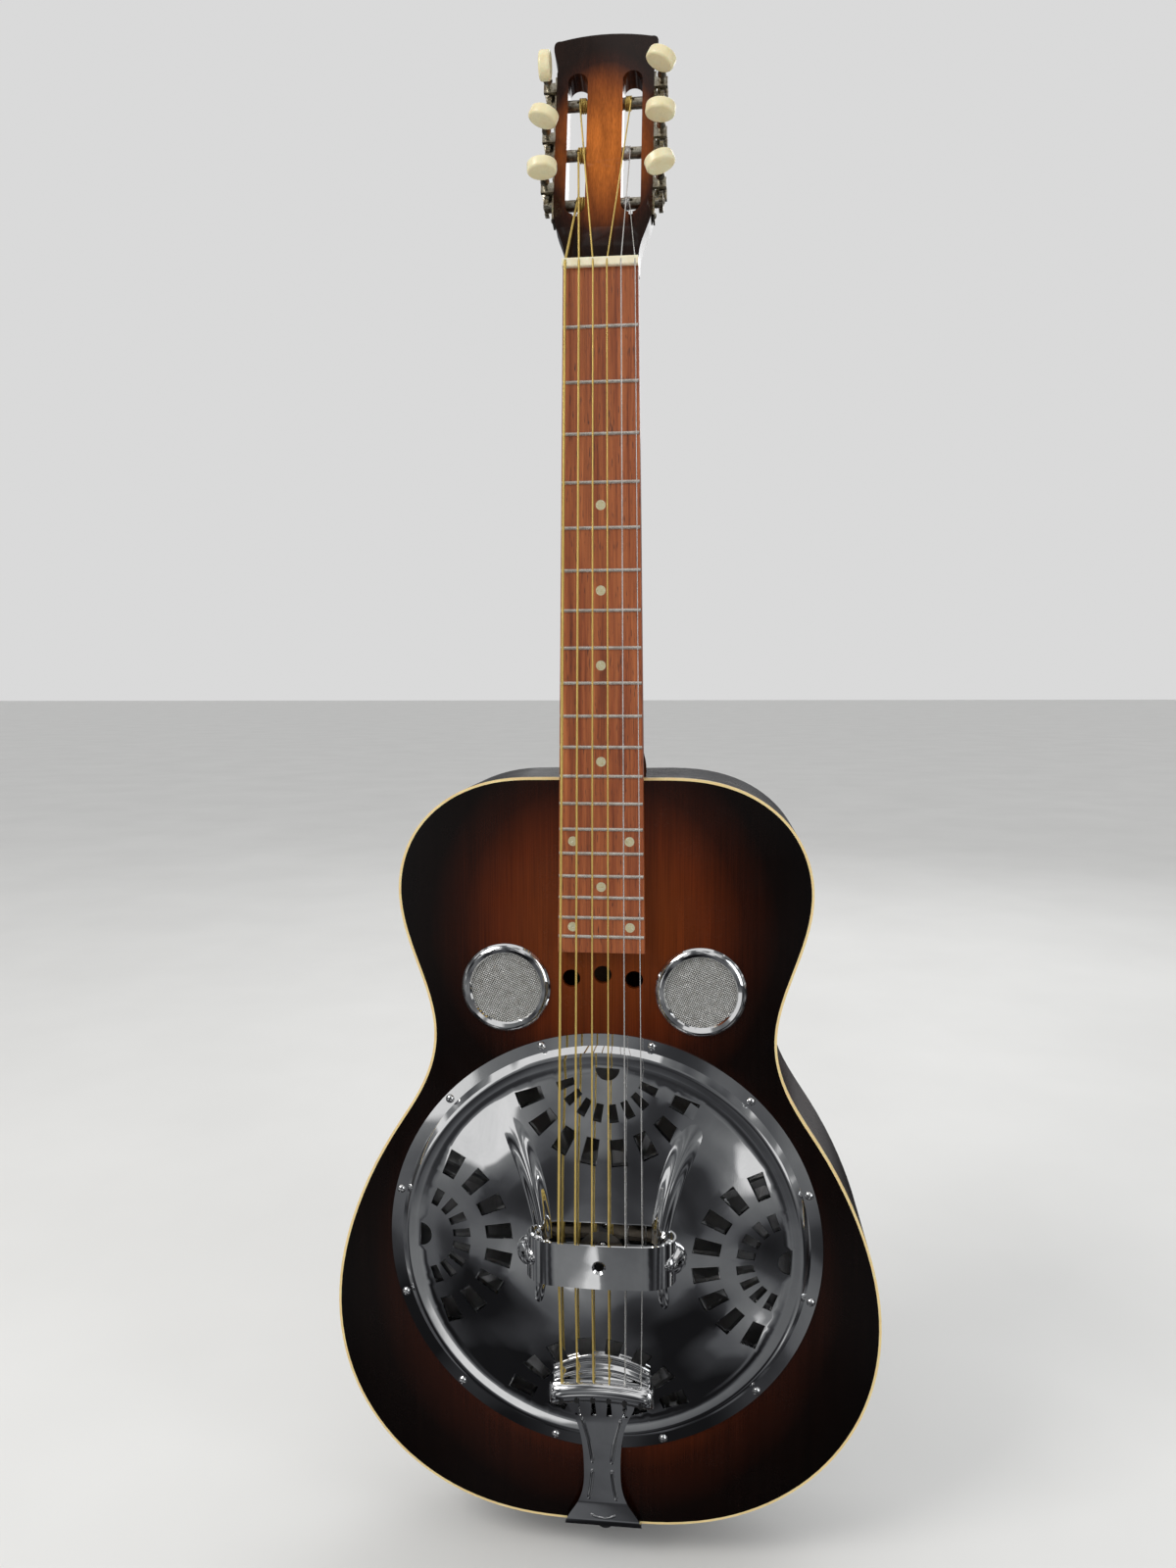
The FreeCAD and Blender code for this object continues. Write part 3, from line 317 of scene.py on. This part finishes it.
def wound(name, colour, dark, pitch):
    """A wound string: fine turns across its length, tarnished in the grooves."""
    s = Shader(name, Metallic=0.65)
    z = coordinates(s)[2]
    turns = s.math("SINE", s.math("MULTIPLY", z, 2 * math.pi / pitch))
    patches = s.noise(s.place((60, 60, 24)), 1.0, 4.0, 0.6)
    groove = s.level(turns, -1.0, 0.2)
    s.colour(s.mix(groove, dark, s.mix(patches, colour, tuple(c * 0.72 for c in colour))))
    s.rough(s.level(patches, 0.3, 0.7, 0.26, 0.42))
    s.bump(turns, 0.45, 0.00008)
    return s.mat


def spun():
    """Spun cone metal with rings about its axis."""
    s = Shader("spun_cone", Metallic=1.0)
    x, _, z = coordinates(s)
    low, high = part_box("cone")
    dz = s.math("SUBTRACT", z, (low.z + high.z) / 2)
    reach = s.math("SQRT", s.math("ADD", s.math("MULTIPLY", x, x), s.math("MULTIPLY", dz, dz)))
    rings = s.math("SINE", s.math("MULTIPLY", reach, 5200.0))
    dull = s.noise(s.place(), 40.0, 4.0)
    s.colour(s.ramp(dull, (0.3, (0.42, 0.42, 0.43)), (0.7, (0.60, 0.60, 0.60))))
    s.rough(s.level(dull, 0.3, 0.7, 0.28, 0.42))
    s.bump(rings, 0.25, 0.0001)
    return s.mat


def plastic(name, colour, rough):
    s = Shader(name)
    clouds = s.noise(s.place(), 300.0, 4.0)
    s.colour(s.ramp(clouds, (0.3, tuple(c * 0.8 for c in colour)), (0.7, colour)))
    s.rough(s.level(clouds, 0.3, 0.7, rough, rough + 0.15))
    s.bump(clouds, 0.1, 0.0001)
    return s.mat


MATERIALS = {
    "sunburst_top": sunburst_top(),
    "dark_body": dark_body(),
    "neck_wood": neck_wood(),
    "rosewood": rosewood(),
    # raw_wood tones are far darker than bare wood: painted shade, so the neck stick seen through the sound holes
    # reads as the dark inside of the body
    "raw_wood": raw_wood("raw_wood", (0.10, 0.052, 0.024), (0.055, 0.026, 0.012)),
    # maple tones are greyed and darkened well below bare maple: painted shade for the saddles that sit under the
    # palm rest
    "maple": raw_wood("maple", (0.20, 0.17, 0.13), (0.11, 0.09, 0.07)),
    "chrome": chrome(),
    "tuner_metal": aged_metal("aged_nickel", (0.60, 0.56, 0.46), (0.16, 0.12, 0.075)),
    "fret_metal": aged_metal("fret_metal", (0.74, 0.70, 0.64), (0.52, 0.46, 0.40), 0.2, 0.35, metallic=0.7),
    "screen_wire": aged_metal("screen_wire", (0.78, 0.78, 0.76), (0.58, 0.57, 0.54), 0.25, 0.4, metallic=0.6),
    "plain_string": aged_metal("plain_steel", (0.75, 0.75, 0.74), (0.55, 0.54, 0.52), 0.18, 0.32, 60.0, 0.7),
    "wound_string": wound("bronze_wound", (0.95, 0.72, 0.22), (0.50, 0.33, 0.08), 0.00055),
    "spun_aluminium": spun(),
    "ivory_plastic": ivory("cream_buttons", (0.80, 0.74, 0.50), (0.72, 0.62, 0.36)),
    "bone": ivory("bone_nut", (0.82, 0.76, 0.58), (0.70, 0.62, 0.42), 200.0),
    "binding": ivory("cream_binding", (0.80, 0.64, 0.33), (0.70, 0.52, 0.24), 60.0),
    "pearl": pearl(),
    # black_pin_and_keyhole_shade also colours the hood's keyhole discs, where it is painted shade for the holes
    "black_plastic": plastic("black_pin_and_keyhole_shade", (0.012, 0.012, 0.012), 0.2),
}

# ---- CAD nodes: shading and materials -------------------------------------------------------------


def crease_tool(angle):
    """A geometry node group that smooths faces and keeps edges sharper than angle crisp."""
    group = bpy.data.node_groups.new("crease", "GeometryNodeTree")
    group.interface.new_socket("Geometry", in_out="INPUT", socket_type="NodeSocketGeometry")
    group.interface.new_socket("Geometry", in_out="OUTPUT", socket_type="NodeSocketGeometry")
    start, end = group.nodes.new("NodeGroupInput"), group.nodes.new("NodeGroupOutput")
    smooth, sharp = (group.nodes.new("GeometryNodeSetShadeSmooth") for _ in range(2))
    smooth.domain, sharp.domain = "FACE", "EDGE"
    sharp.inputs["Shade Smooth"].default_value = False
    bend = group.nodes.new("GeometryNodeInputMeshEdgeAngle")
    test = group.nodes.new("FunctionNodeCompare")
    test.data_type, test.operation = "FLOAT", "GREATER_THAN"
    test.inputs["B"].default_value = angle
    link = group.links.new
    link(bend.outputs["Unsigned Angle"], test.inputs["A"])
    link(test.outputs["Result"], sharp.inputs["Selection"])
    link(start.outputs[0], smooth.inputs["Geometry"])
    link(smooth.outputs[0], sharp.inputs["Geometry"])
    link(sharp.outputs[0], end.inputs[0])
    return group


CREASE = crease_tool(math.radians(28))
for entry in frame["record"]["subparts"]:
    obj = nodes[entry["node"]]
    mesh = obj.data
    material = MATERIALS[entry["material_slot"]]
    if obj.material_slots:
        for holder in obj.material_slots:
            holder.material = material
    else:
        mesh.materials.append(material)
    if "custom_normal" in mesh.attributes:
        mesh.attributes.remove(mesh.attributes["custom_normal"])
    weld = obj.modifiers.new("weld", "WELD")
    weld.merge_threshold = 2e-6
    obj.modifiers.new("crease", "NODES").node_group = CREASE


# ---- pieces ---------------------------------------------------------------------------------------


def piece(name, mesh_or_curve, material, body, *replaced):
    """Links a new piece, paints it, puts it on a body and hides the CAD parts it stands in for."""
    obj = bpy.data.objects.new(name, mesh_or_curve)
    bpy.context.scene.collection.objects.link(obj)
    mesh_or_curve.materials.append(MATERIALS[material])
    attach(obj, body)
    if replaced:
        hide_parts(*replaced)
    return obj


def mesh_from(name, verts, faces, smooth=True):
    mesh = bpy.data.meshes.new(name)
    mesh.from_pydata([tuple(v) for v in verts], [], faces)
    mesh.update()
    if smooth:
        mesh.shade_smooth()
    return mesh


def tube(paths, radius, sides=6):
    """Vertices and faces of round wires along paths of points."""
    verts, faces = [], []
    for path in paths:
        start = len(verts)
        for i, point in enumerate(path):
            ahead = path[min(i + 1, len(path) - 1)] - path[max(i - 1, 0)]
            ahead.normalize()
            side = ahead.cross(Vector((0, 1, 0)) if abs(ahead.y) < 0.9 else Vector((1, 0, 0))).normalized()
            lift = side.cross(ahead)
            for k in range(sides):
                angle = 2 * math.pi * k / sides
                verts.append(point + radius * (math.cos(angle) * side + math.sin(angle) * lift))
        for i in range(len(path) - 1):
            for k in range(sides):
                a, b = start + i * sides + k, start + i * sides + (k + 1) % sides
                faces.append((a, b, b + sides, a + sides))
        faces.append(tuple(start + k for k in range(sides)))
        faces.append(tuple(start + (len(path) - 1) * sides + k for k in reversed(range(sides))))
    return verts, faces


def woven_screen(side):
    """Plain-woven wire across a sound hole, in place of the solid disc."""
    low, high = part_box(f"screen_mesh_{side}")
    middle, radius = (low + high) / 2, (high.x - low.x) / 2
    pitch, wire = 1.15 * MM, 0.24 * MM
    turn = math.radians(22)
    across, along = Vector((math.cos(turn), 0, math.sin(turn))), Vector((-math.sin(turn), 0, math.cos(turn)))
    count = int(radius / pitch)
    paths = []
    for first, second, sign in ((across, along, 1), (along, across, -1)):
        for i in range(-count, count + 1):
            half = math.sqrt(max(radius ** 2 - (i * pitch) ** 2, 0)) * 0.995
            reach = int(half / pitch)
            if reach < 1:
                continue
            steps = [j * 0.5 for j in range(-2 * reach, 2 * reach + 1)]
            points = []
            for j in steps:
                wave = math.cos(math.pi * (j + i)) * sign * wire * 0.95
                points.append(middle + first * (j * pitch) + second * (i * pitch) + Vector((0, wave, 0)))
            paths.append(points)
    verts, faces = tube(paths, wire, 5)
    piece(f"woven_screen_{side}", mesh_from(f"woven_screen_{side}", verts, faces), "screen_wire", "guitar",
          f"screen_mesh_{side}")


for side in ("bass", "treble"):
    woven_screen(side)


def joint(name):
    return next(j for j in frame["joints"] if j["name"] == name)


POST_RADIUS = 3.5 * MM
COIL_START = 16.4 * MM


def string_coil(n):
    """Turns of string round its post, starting where the string's straight run ends."""
    post = joint(f"post_{n}_turn")
    centre = Vector(post["pos_m"])
    radius = STRING_RADIUS[n]
    turns = 4 if n > 2 else 6
    side = 1 if centre.x > 0 else -1
    button = Vector(joint(f"button_{n}_turn")["axis"])
    up = button.cross(Vector((1, 0, 0))).normalized()
    up = up if up.z > 0 else -up
    reach = POST_RADIUS + radius
    start_x = side * COIL_START
    points = []
    steps = 20
    for i in range(turns * steps + 1):
        angle = 2 * math.pi * i / steps
        shift = -side * (2.1 * radius) * i / steps
        around = math.cos(angle) * button + math.sin(angle) * up
        points.append(Vector((start_x + shift, centre.y, centre.z)) + reach * around)
    verts, faces = tube([points], radius, 8)
    slot = "plain_string" if n < 3 else "wound_string"
    piece(f"string_coil_{n}", mesh_from(f"string_coil_{n}", verts, faces), slot, f"post_{n}")


STRING_RADIUS = {n: MM * r for n, r in enumerate((0.28, 0.36, 0.46, 0.54, 0.66, 0.80), start=1)}
for n in STRING_RADIUS:
    string_coil(n)

# ---- coverplate ribs ------------------------------------------------------------------------------

plate_low, plate_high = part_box("coverplate")
cover = Vector((0, 0, (plate_low.z + plate_high.z) / 2))
DOME = [(0.0, 14.5), (20.0, 14.3), (40.0, 13.7), (65.0, 12.4), (90.0, 10.2), (112.0, 7.6), (127.0, 5.4)]


def dome_height(radius):
    """How far the coverplate stands in front of the soundboard, in metres, at a radius in metres."""
    r = radius / MM
    for (r0, h0), (r1, h1) in zip(DOME, DOME[1:]):
        if r <= r1:
            return MM * (h0 + (h1 - h0) * (r - r0) / (r1 - r0))
    return MM * DOME[-1][1]


def smooth(value):
    """0 to 1 with a level start and finish."""
    v = min(max(value, 0.0), 1.0)
    return v * v * (3 - 2 * v)


def pressed_rib(name, spine, widths, heights):
    """A rounded ridge pressed in the coverplate: widths and heights are its first and last ones."""
    verts, faces, across = [], [], 12
    count = 26
    for i in range(count + 1):
        t = i / count
        at = bezier(spine, t)
        ahead = (bezier(spine, min(t + 0.01, 1)) - bezier(spine, max(t - 0.01, 0))).normalized()
        side = Vector((ahead.y, -ahead.x))
        fade = smooth((1 - t) / 0.6) * smooth((t + 0.15) / 0.3)
        width = MM * (widths[0] + (widths[1] - widths[0]) * t)
        height = MM * (heights[0] + (heights[1] - heights[0]) * t) * fade
        for k in range(across + 1):
            s = 2 * k / across - 1
            spot = at + side * (s * width)
            lift = height * 0.5 * (1 + math.cos(math.pi * s))
            base = dome_height(spot.length)
            verts.append(Vector((cover.x + spot.x, -(base + lift - 0.25 * MM), cover.z + spot.y)))
    for i in range(count):
        for k in range(across):
            a = i * (across + 1) + k
            faces.append((a, a + 1, a + across + 2, a + across + 1))
    piece(name, mesh_from(name, verts, faces), "chrome", "guitar")


def bezier(points, t):
    """A point on a cubic curve in the coverplate's plane."""
    a, b, c, d = (Vector(p) * MM for p in points)
    u = 1 - t
    return a * u ** 3 + b * 3 * u * u * t + c * 3 * u * t * t + d * t ** 3


for side, label in ((-1, "bass"), (1, "treble")):
    upper = [(side * 38, 9), (side * 41, 34), (side * 47, 66), (side * 68, 96)]
    lower = [(side * 39, -10), (side * 41, -22), (side * 42, -31), (side * 42, -40)]
    pressed_rib(f"pressed_rib_upper_{label}", upper, (6.5, 12.0), (4.8, 4.2))
    pressed_rib(f"pressed_rib_lower_{label}", lower, (5.0, 4.0), (3.0, 1.6))


def bell_foot(side, label):
    """The palm rest's spun foot: a rounded bell that flows down into the coverplate."""
    verts, faces, rings, sides = [], [], 14, 40
    for i in range(rings + 1):
        r = 13.5 * i / rings
        height = 12.5 * (0.5 + 0.5 * math.cos(math.pi * (i / rings) ** 1.25))
        for k in range(sides):
            turn = 2 * math.pi * k / sides
            spot = Vector((side * 44.0 + r * math.cos(turn), r * math.sin(turn))) * MM
            base = dome_height(spot.length)
            verts.append(Vector((cover.x + spot.x, -(base + (height - 0.25) * MM), cover.z + spot.y)))
    for i in range(rings):
        for k in range(sides):
            a, b = i * sides + k, i * sides + (k + 1) % sides
            faces.append((a, b, b + sides, a + sides))
    piece(f"bell_foot_{label}", mesh_from(f"bell_foot_{label}", verts, faces), "chrome", "guitar")


bell_foot(-1, "bass")
bell_foot(1, "treble")

# ---- turned-in edges of the coverplate's slots ----------------------------------------------------

FAN_ANGLES = [-66.5, -47.5, -28.5, -9.5, 9.5, 28.5, 47.5, 66.5]
FAN_ROWS = [(23.5, 35.5, 3.1), (46.5, 64.5, 5.6)]
FAN_CENTRE, COVER_TURN = 124.0, 1.7
SLOT_STEPS = [(0.985, 0.15), (0.955, 0.9), (0.93, 4.2), (0.90, 4.2), (0.925, 0.9), (0.93, 0.5)]


def swing(x, z, degrees):
    """A point turned about the coverplate's axis, the way the plate's own pattern turns."""
    c, s = math.cos(math.radians(degrees)), math.sin(math.radians(degrees))
    return x * c + z * s, -x * s + z * c


def slot_walls():
    """Each slot's metal is turned in: four short walls that lean back under the plate."""
    verts, faces = [], []
    for quarter in range(4):
        for angle in FAN_ANGLES:
            for near, far, half in FAN_ROWS:
                slim = half * near / far + 0.35
                ring = []
                for x, z in ((-slim, -near), (slim, -near), (half, -far), (-half, -far)):
                    x, z = swing(x, z, angle)
                    ring.append(swing(x, z + FAN_CENTRE, 90 * quarter + COVER_TURN))
                cx, cz = sum(p[0] for p in ring) / 4, sum(p[1] for p in ring) / 4
                start = len(verts)
                for grow, deep in SLOT_STEPS:
                    for x, z in ring:
                        x, z = cx + (x - cx) * grow, cz + (z - cz) * grow
                        height = dome_height(math.hypot(x, z) * MM)
                        verts.append(Vector((x * MM, -height + deep * MM, cover.z + z * MM)))
                for level in range(5):
                    for k in range(4):
                        a, b = start + 4 * level + k, start + 4 * level + (k + 1) % 4
                        faces.append((a, b, b + 4, a + 4))
    mesh = mesh_from("slot_walls", verts, faces, smooth=False)
    piece("slot_walls", mesh, "chrome", "guitar")


slot_walls()

# ---- tailpiece hood and beads ---------------------------------------------------------------------

BAR_AT = -726.0
TONGUE = [(-727.2, 17.3), (-746.2, 14.5), (-776.2, 11.0), (-811.7, 7.0), (-826.7, 4.1), (-831.2, 2.5)]


def ribbon(name, section, half, bow_of, ends):
    """A pressed strip across the guitar: section points are (up the neck from the bar, height)."""
    verts, faces, count = [], [], 44
    for i in range(count + 1):
        s = math.sin(0.5 * math.pi * (2 * i / count - 1))
        close = math.sqrt(max(0.0, 1 - abs(s) ** ends))
        for reach, height in section:
            along = reach + bow_of(reach) * (0.45 - s * s)
            sunk = 12.0 + (height - 12.0) * (0.25 + 0.75 * close)
            verts.append(Vector((half * s * MM, -sunk * MM, (BAR_AT + along) * MM)))
    across = len(section)
    for i in range(count):
        for k in range(across - 1):
            a = i * across + k
            faces.append((a, a + 1, a + across + 1, a + across))
    piece(name, mesh_from(name, verts, faces), "chrome", "guitar")


def tail_hood():
    """The tailpiece's hood: a bowed step behind the strings, a rounded band over the bar and black discs of
    painted shade for its keyholes.
    """
    step = [(22.0, 11.6), (22.6, 12.8), (22.2, 13.8), (21.2, 14.2), (20.2, 13.8), (18.6, 12.6), (16.6, 12.2),
            (14.8, 12.8), (13.4, 13.8), (12.0, 14.2), (10.6, 13.8), (9.4, 12.8), (8.0, 12.4), (6.4, 12.8),
            (5.0, 13.8), (3.5, 14.2)]
    ribbon("hood_step", step, 32.5, lambda reach: 7.5 + 0.12 * reach, 10)
    band = [(7.4, 13.2), (7.2, 15.6), (6.5, 17.8), (5.2, 19.4), (3.0, 20.5), (0.4, 20.8), (-2.4, 20.5),
            (-4.8, 19.4), (-6.3, 17.8), (-7.0, 15.6), (-7.2, 13.2)]
    ribbon("hood_band", band, 35.0, lambda reach: 4.2, 14)
    # keyhole-shaped black discs on the band: painted shade that stands in for the dark string holes in the hood
    sides, verts, faces = 18, [], []
    for n in range(1, 7):
        x = 26.5 * (3.5 - n) / 2.5
        middle = -3.4 + 4.2 * (0.45 - (x / 35.0) ** 2)
        first = len(verts)
        for deep, radius in ((20.95, 1.7), (20.3, 1.3)):
            for k in range(sides):
                turn = 2 * math.pi * k / sides
                tall = radius * math.cos(turn) * (1.35 if math.cos(turn) > 0 else 1.0)
                wide = radius * math.sin(turn)
                verts.append(Vector(((x + wide) * MM, -deep * MM, (BAR_AT + middle + tall) * MM)))
        for k in range(sides):
            a, b = first + k, first + (k + 1) % sides
            faces.append((a, b, b + sides, a + sides))
        faces.append(tuple(first + k for k in range(sides)))
    piece("hood_keyhole_shade_discs", mesh_from("hood_keyhole_shade_discs", verts, faces, smooth=False), "black_plastic", "guitar")


def tongue_point(x, z, out=0.0):
    """A point on the front of the tailpiece's tongue."""
    for (z0, h0), (z1, h1) in zip(TONGUE, TONGUE[1:]):
        if z >= z1:
            break
    height = h0 + (h1 - h0) * (z - z0) / (z1 - z0)
    return Vector((x * MM, -(height + out) * MM, z * MM))


def embossed(name, path, radius, sink):
    """A rounded bead pressed in the tongue along (across, up) points; both ends sink away."""
    fine = []
    for (x0, z0), (x1, z1) in zip(path, path[1:]):
        fine += [(x0 + (x1 - x0) * k / 8, z0 + (z1 - z0) * k / 8) for k in range(8)]
    fine.append(path[-1])
    last = len(fine) - 1
    points = []
    for i, (x, z) in enumerate(fine):
        fade = smooth(min(i, last - i) / (0.18 * last))
        points.append(tongue_point(x, z, -sink - radius * 1.1 * (1 - fade)))
    verts, faces = tube([points], radius * MM, 12)
    piece(name, mesh_from(name, verts, faces), "chrome", "guitar")


tail_hood()
for side, label in ((-1, "bass"), (1, "treble")):
    upper = [(side * 14.5, -738), (side * 11.5, -750), (side * 8.6, -762), (side * 7.0, -773),
             (side * 6.0, -784)]
    lower = [(side * 6.4, -781), (side * 7.0, -790), (side * 8.2, -800), (side * 10.2, -812)]
    embossed(f"tongue_bead_upper_{label}", upper, 1.8, 1.1)
    embossed(f"tongue_bead_lower_{label}", lower, 1.8, 1.1)
turns = [math.pi * k / 10 for k in range(11)]
embossed("tongue_bead_round", [(-9.0 * math.cos(a), -819.0 - 4.6 * math.sin(a)) for a in turns], 1.5, 0.9)

# ---- stage, light and camera ----------------------------------------------------------------------

low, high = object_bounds()
floor_mesh = bpy.data.meshes.new("floor")
shape = bmesh.new()
bmesh.ops.create_grid(shape, x_segments=1, y_segments=1, size=30)
shape.to_mesh(floor_mesh)
shape.free()
floor = bpy.data.objects.new("floor", floor_mesh)
floor.location = (0, 0, low.z - 0.012)
bpy.context.scene.collection.objects.link(floor)
pale = Shader("pale_floor", Roughness=0.75)
patches = pale.noise(pale.place(), 3.0, 3.0)
pale.colour(pale.ramp(patches, (0.3, (0.70, 0.70, 0.69)), (0.7, (0.74, 0.74, 0.73))))
floor_mesh.materials.append(pale.mat)
floor.visible_glossy = False

world = bpy.data.worlds.new("studio")
bpy.context.scene.world = world
world.use_nodes = True
tree = world.node_tree
sky = tree.nodes["Background"]
room = tree.nodes.new("ShaderNodeBackground")
blend = tree.nodes.new("ShaderNodeMixShader")
path = tree.nodes.new("ShaderNodeLightPath")
tree.links.new(path.outputs["Is Glossy Ray"], blend.inputs["Fac"])
tree.links.new(sky.outputs[0], blend.inputs[1])
tree.links.new(room.outputs[0], blend.inputs[2])
tree.links.new(blend.outputs[0], tree.nodes["World Output"].inputs["Surface"])
sky.inputs["Color"].default_value = (0.70, 0.70, 0.70, 1)
coords = tree.nodes.new("ShaderNodeTexCoord")
split = tree.nodes.new("ShaderNodeSeparateXYZ")
tree.links.new(coords.outputs["Generated"], split.inputs[0])
clouds = tree.nodes.new("ShaderNodeTexNoise")
clouds.inputs["Scale"].default_value = 3.6
clouds.inputs["Detail"].default_value = 1.5
tree.links.new(coords.outputs["Generated"], clouds.inputs["Vector"])
lift = tree.nodes.new("ShaderNodeMath")
lift.operation = "MULTIPLY_ADD"
lift.inputs[1].default_value = 0.13
tree.links.new(split.outputs["Z"], lift.inputs[0])
tree.links.new(clouds.outputs["Fac"], lift.inputs[2])
ramp = tree.nodes.new("ShaderNodeValToRGB")
tree.links.new(lift.outputs[0], ramp.inputs[0])
bar = ramp.color_ramp
stops = [(0.30, (0.010, 0.010, 0.011)), (0.40, (0.045, 0.046, 0.050)), (0.44, (0.10, 0.103, 0.11)),
         (0.52, (0.17, 0.175, 0.18)), (0.585, (0.24, 0.245, 0.25)), (0.62, (0.85, 0.85, 0.85))]
while len(bar.elements) < len(stops):
    bar.elements.new(0.5)
for element, (at, tone) in zip(bar.elements, stops):
    element.position = at
    element.color = (*tone, 1)
tree.links.new(ramp.outputs[0], room.inputs["Color"])
room.inputs["Strength"].default_value = 1.0


def area_light(name, at, target, size, power, tint=(1, 1, 1)):
    data = bpy.data.lights.new(name, "AREA")
    data.shape = "RECTANGLE"
    data.size, data.size_y = size
    data.energy = power
    data.color = tint
    obj = bpy.data.objects.new(name, data)
    obj.location = at
    obj.rotation_euler = (Vector(target) - Vector(at)).to_track_quat("-Z", "Y").to_euler()
    bpy.context.scene.collection.objects.link(obj)


middle = (low + high) / 2
area_light("key", (-1.5, -1.3, 1.3), middle, (1.0, 1.0), 30, (1.0, 0.98, 0.95))
area_light("fill", (2.0, -1.3, 0.2), middle, (0.8, 1.8), 12, (0.95, 0.98, 1.0))
area_light("back", (0.6, 2.0, 1.1), middle, (1.6, 1.6), 16)

camera_data = bpy.data.cameras.new("camera")
camera_data.sensor_fit = "VERTICAL"
camera_data.sensor_height = 36
camera_data.lens = 24.95
camera_data.clip_start = 0.01
camera = bpy.data.objects.new("camera", camera_data)
camera.location = (0.0650, -0.6953, -0.2506)
camera.rotation_euler = Euler((math.radians(90 - 5.53), math.radians(0.18), math.radians(6.08)))
bpy.context.scene.collection.objects.link(camera)
bpy.context.scene.camera = camera
bpy.context.scene.view_settings.view_transform = "Standard"
